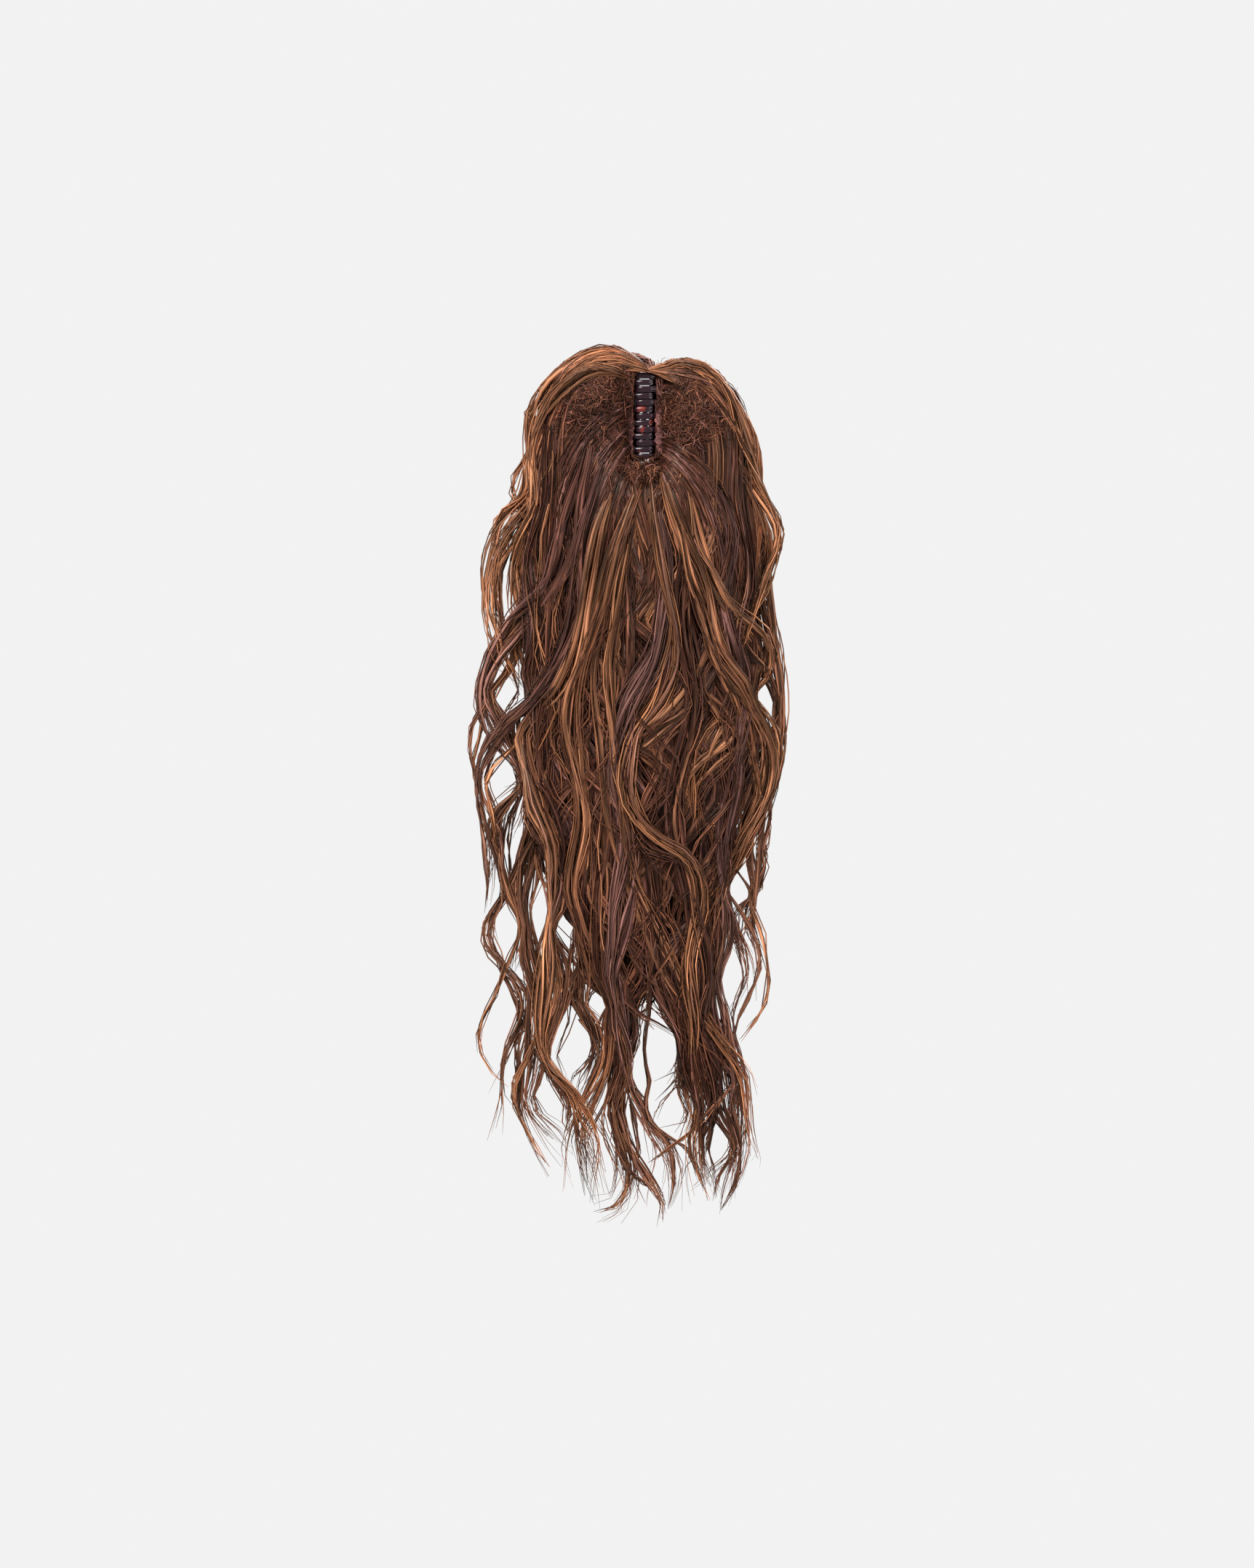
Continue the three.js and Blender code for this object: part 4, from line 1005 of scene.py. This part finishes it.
def centre_fall(half, facing):
    """Routes that start under the clip's lower end and spread a little as they fall. The ones
    behind are longer and line the walls of the back parting."""
    side = HALVES[half][0]
    for start in side * np.linspace(0.0004, 0.0075, 9) + chance.uniform(-0.0004, 0.0004, 9):
        across = start * np.array([1.0, 1.5, 2.1, 2.3, 2.2])
        across += chance.normal(0, 0.001, 5) * [0, 0.3, 1, 2, 2]
        height = np.array([-0.034, -0.055, -0.085, -0.12, -0.16]) - 0.004 * chance.random()
        if facing > 0:
            height = height * 2.4 + 0.048
        points = on_hair(across, height, facing, -0.001 - 0.002 * chance.random())
        if facing > 0:
            points[:, 1] = HINGE_Y + (points[:, 1] - HINGE_Y) * chance.random()
        yield smooth_route(points), pick_tint(copper=0.25, brown=0.4, dark=0.35), 1


for half in HALVES:
    swept = sub_locks(side_sweep(half), (0.0014, 0.0008), (0.0036, 0.0016), 8, 0.0008)
    add_hair("side_sweep", half, *swept)
    fallen = [sub_locks(centre_fall(half, facing), (0.0012, 0.0008), (0.0026, 0.0012), 7, 0.0006)
              for facing in (-1, 1)]
    add_hair("centre_fall", half, *fallen[0], *fallen[1])


# The crown: fine combed strands that leave the parting above the clip together and sweep over
# each mound, lit there by a painted highlight that is stronger on the left, and join the waves
# at its shoulder.
RIDGE = {
    "left": [(-0.005, 0.0405), (-0.02, 0.0475), (-0.041, 0.044), (-0.058, 0.029)],
    "right": [(0.012, 0.0358), (0.024, 0.0385), (0.043, 0.034), (0.057, 0.0185)],
}
CROWN_LOCKS, TOP_LOCKS, PARTING_LOCKS = 58, 40, 12
# Painted highlight: a gain on each crown strand's colour, higher on the left mound, where the key
# light falls.
PAINTED_GLEAM = {"left": 3.9, "right": 2.8}
PARTING = {
    "left": [(0.0062, 0.03), (0.006, 0.0372), (-0.002, 0.043), (-0.013, 0.045), (-0.03, 0.043)],
    "right": [(0.005, 0.03), (0.0098, 0.0345), (0.017, 0.0365), (0.03, 0.035), (0.042, 0.03)],
}


def crown_sweep(half):
    """Routes from a root at the parting over the ridge of the mound (a rise, a crest, a brow and
    a shoulder) and down the flank. A lane from 0 to 1 moves these inward and down together, so
    the strands fan out, and takes the painted highlight off them, so they are darker."""
    side = HALVES[half][0]
    across, height = np.array(RIDGE[half]).T
    for _ in range(CROWN_LOCKS):
        lane = chance.random() ** 0.8
        root = (0.003 + side * chance.uniform(-0.001, 0.0025), 0.0315 - 0.0015 * lane)
        inward = across * (1 - lane * np.array([0, 0.1, 0.08, 0.12]))
        ridge = np.stack([inward + side * lane * np.array([0.004, 0, 0, 0]),
                          height - lane * np.array([0.0095, 0.016, 0.017, 0.014])], axis=-1)
        flank = [(side * (0.076 - 0.008 * lane), -0.012 - 0.012 * lane),
                 (side * (0.08 - 0.006 * lane), -0.05),
                 (side * (0.077 - 0.004 * lane), -0.085 - 0.03 * chance.random())]
        flat = np.vstack([root, ridge, flank])
        points = on_hair(flat[:, 0], flat[:, 1], -1, 0.0004 + 0.002 * chance.random())
        points[0, 1] = -0.0215 - 0.0015 * chance.random()
        points[1, 1] = -0.013 - 0.011 * lane
        points[2, 1] = points[2, 1] * 0.85 - 0.003
        tint = pick_tint(copper=0.6, brown=0.35, dark=0.05)
        # The gain is a painted highlight, which fades along the lane.
        yield smooth_route(points), tint, PAINTED_GLEAM[half] - 1.4 * lane


def crown_top(half):
    """Routes over the top of a mound and its back, from the parting out to the flank. Each keeps
    one distance behind the middle, drawn in at both ends, and lies on the highest point that
    the mass reaches there."""
    side, sections = HALVES[half]
    across = side * np.array([0.004, 0.012, 0.024, 0.038, 0.051, 0.062, 0.069, 0.074])
    levels = np.linspace(-0.04, height_of(sections[0, 0]), 60)
    reach = depth_share(across[:, None], levels) * BACK_DEPTH
    for _ in range(TOP_LOCKS):
        behind = chance.uniform(-0.012, 0.027) * np.array([0.6, 0.8, 1, 1, 0.95, 0.85, 0.7, 0.6])
        within = reach > np.maximum(np.abs(behind), 0.006)[:, None]
        height = np.where(within, levels, -0.04).max(axis=1)
        height[0] = height[1] - 0.006
        points = np.stack([across, behind, height + chance.uniform(0, 0.001)], axis=-1)
        yield smooth_route(points), pick_tint(copper=0.3, brown=0.5, dark=0.2), 1.3


def parting_hair(half):
    """Pale mauve strands behind the crest, which fill the notch of the parting above the clip.
    Each is the same row of turns, moved down and back together."""
    across, height = np.array(PARTING[half]).T
    for _ in range(PARTING_LOCKS):
        lower = chance.uniform(0.0, 0.009) * np.array([0.1, 0.5, 1, 1, 1])
        depth = np.array([-0.016, -0.01, -0.002, 0.003, 0.008]) + chance.uniform(-0.004, 0.003)
        route = smooth_route(np.stack([across - 0.3 * lower, depth, height - lower], axis=-1))
        yield strands_of(route, 0.0018, 0.0024, 12, "mauve", shade_of("mauve") * 1.5, 0.0005)


for half in HALVES:
    swept = sub_locks(crown_sweep(half), (0.0013, 0.0007), (0.0026, 0.0014), 5, 0.0006)
    add_hair("crown_sweep", half, *swept)
    topped = sub_locks(crown_top(half), (0.0015, 0.0008), (0.0034, 0.0014), 5, 0.0008)
    add_hair("crown_top", half, *topped)
    add_hair("parting_hair", half, strand_tubes(parting_hair(half)))


# The frizz: short crimped fibre that stands off the nets round the clip, and a copper tuft under
# its lower end.
def frizz_of(middle, spread, count, tint, length, toward):
    """Short curly hairs scattered over an oval and past its edge. Each starts on the hair, heads
    roughly one way, turns at random at every step and stays off the teeth. Slow waves of the
    place make some patches lighter."""
    steps = 5
    radius = np.sqrt(chance.random(count)) * (1 + 0.22 * np.clip(chance.normal(0, 1, count), -2, 2))
    turn = chance.uniform(0, 2 * np.pi, count)
    x = middle[0] + spread[0] * radius * np.cos(turn)
    z = middle[1] + spread[1] * radius * np.sin(turn)
    patch = 1 + 0.25 * np.sin(310 * x + 2) * np.sin(270 * z + 1)
    heading = toward + chance.normal(0, 1.0, (count, 1))
    heading = heading + np.cumsum(chance.normal(0, 0.7, (count, steps)), axis=1)
    pace = length * chance.uniform(0.5, 1.4, (count, 1)) / steps
    x = x[:, None] + np.cumsum(np.cos(heading) * pace, axis=1)
    z = z[:, None] + np.cumsum(np.sin(heading) * pace, axis=1)
    edge = np.where(np.abs(z) < 0.0285, 0.0086 - 0.0012 * chance.random((count, 1)), 0)
    x = np.sign(middle[0]) * np.maximum(np.sign(middle[0]) * x, edge)
    rise = chance.uniform(-0.001, 0.003, (count, 1)) + 0.0012 * np.sin(np.linspace(0, 3, steps))
    points = on_hair(x, z, -1, rise)
    girth = np.full((count, steps), 0.00028) * np.linspace(1, 0.5, steps)
    bright = (patch * chance.uniform(0.7, 2.1, count))[:, None, None]
    colour = np.repeat(pick_colours(tint, count)[:, None, :], steps, axis=1) * bright
    return points, girth, colour


FRIZZ = {
    "left": [((-0.027, 0.018), (0.019, 0.011), 1100, "frizz", 0.013, -2.6),
             # Painted shadow: this dark tuft darkens the hair under the crown sweep.
             ((-0.034, 0.000), (0.022, 0.012), 700, "dark", 0.015, -2.4),
             ((-0.0085, 0.03), (0.005, 0.003), 170, "frizz", 0.009, -2.9),
             ((-0.005, -0.033), (0.008, 0.0045), 260, "frizz", 0.012, -1.7),
             ((-0.003, -0.034), (0.006, 0.004), 80, "copper", 0.01, -1.7)],
    "right": [((0.029, 0.003), (0.02, 0.02), 1700, "frizz", 0.014, -0.6),
              ((0.01, 0.0295), (0.004, 0.003), 110, "frizz", 0.009, -0.3),
              ((0.004, -0.033), (0.006, 0.0045), 180, "frizz", 0.012, -1.4),
              ((0.003, -0.034), (0.005, 0.004), 50, "copper", 0.01, -1.4)],
}
for half, tufts in FRIZZ.items():
    add_hair("frizz", half, strand_tubes(frizz_of(*tuft) for tuft in tufts))


# The wisps: single strands and thin tips that have worked loose and curl away from the locks.
# Their turns are given as those of the locks.
WISPS = [
    [(-62, -480), (-72, -300), (-80, -100), (-80.5, 20), (-80, 50), (-79, 80), (-83, 95),
     (-92, 105), (-100, 120), (-106, 140)],
    [(-62, 15), (-73, 30), (-82, 50), (-89, 70), (-91, 90), (-89, 105), (-85, 120), (-78, 135)],
    [(-62, 50), (-74, 100), (-90, 155), (-100, 180), (-103, 215), (-96, 262)],
    [(-100, 330), (-113, 360), (-119, 380), (-120, 400), (-119, 420), (-113, 450)],
    [(-100, 340), (-110, 360), (-114, 400), (-117, 420), (-112, 450), (-106, 470), (-103, 500),
     (-105, 540)],
    [(-90, 380), (-98, 410), (-105, 430), (-109, 450), (-105, 470)],
    [(-85, 400), (-95, 430), (-100, 450), (-102, 480), (-102, 520)],
    [(-112, 450), (-113, 480), (-110, 520), (-108, 560), (-107, 590), (-108, 610)],
    [(-100, 530), (-98, 560), (-93, 600), (-93, 640), (-94, 670), (-100, 700), (-105, 720),
     (-111, 740), (-114, 760), (-113, 780), (-100, 815), (-90, 825)],
    [(-70, 740), (-80, 790), (-87, 810), (-90, 840), (-85, 860), (-78, 885), (-70, 910),
     (-64, 925)],
    [(-60, 780), (-60, 820), (-55, 850), (-54, 870), (-57, 890)],
    [(60, 550), (72, 600), (78, 620), (82, 650), (85, 680), (85, 700), (81, 730), (72, 750),
     (65, 770)],
    [(60, 580), (70, 620), (76, 640), (79, 670), (75, 700), (68, 720), (62, 750), (61, 770)],
    [(64, 50), (70, 80), (76, 110), (82, 140), (88, 180)],
    [(-22, 840), (-20, 870), (-12, 920), (-12, 950), (-20, 970), (-36, 980)],
    [(-10, 840), (-6, 870), (-4, 900), (-6, 930), (-11, 950)],
    [(-15, 880), (-8, 910), (0, 930), (8, 950), (13, 970), (12, 990), (9, 1000)],
    [(-8, 820), (0, 840), (6, 860), (12, 880), (18, 900), (20, 930), (19, 960), (15, 980)],
    [(8, 640), (4, 700), (3, 770), (1, 820), (7, 860), (15, 880), (30, 900), (36, 930),
     (44, 960)],
    [(40, 800), (35, 830), (31, 860), (30, 890), (36, 930), (45, 965)],
    [(60, 820), (50, 840), (40, 860), (30, 880), (15, 900), (2, 920)],
    [(55, 850), (58, 880), (55, 910), (50, 940), (47, 970)],
    [(60, 840), (65, 880), (65, 920), (62, 950), (52, 975)],
    [(-50, 740), (-44, 760), (-40, 780), (-37, 800), (-35, 820)],
]


def wisp_hair(half):
    """The routes of the wisps whose roots are on this half."""
    for turns in WISPS:
        across, height = lock_turns(turns)
        edge = 0.0235 if height[0] < -0.8 * FALL else 0.0
        if (across[0] < edge) == (HALVES[half][0] < 0):
            tint = pick_tint(copper=0.45, brown=0.35, dark=0.2)
            yield smooth_route(on_hair(across, height, -1, chance.uniform(0, 0.004))), tint, 1


for half in HALVES:
    loose = sub_locks(wisp_hair(half), (0.0011, 0.0006), (0.0022, 0.0016), 7, 0.0008, 0.9)
    add_hair("wisps", half, *loose)
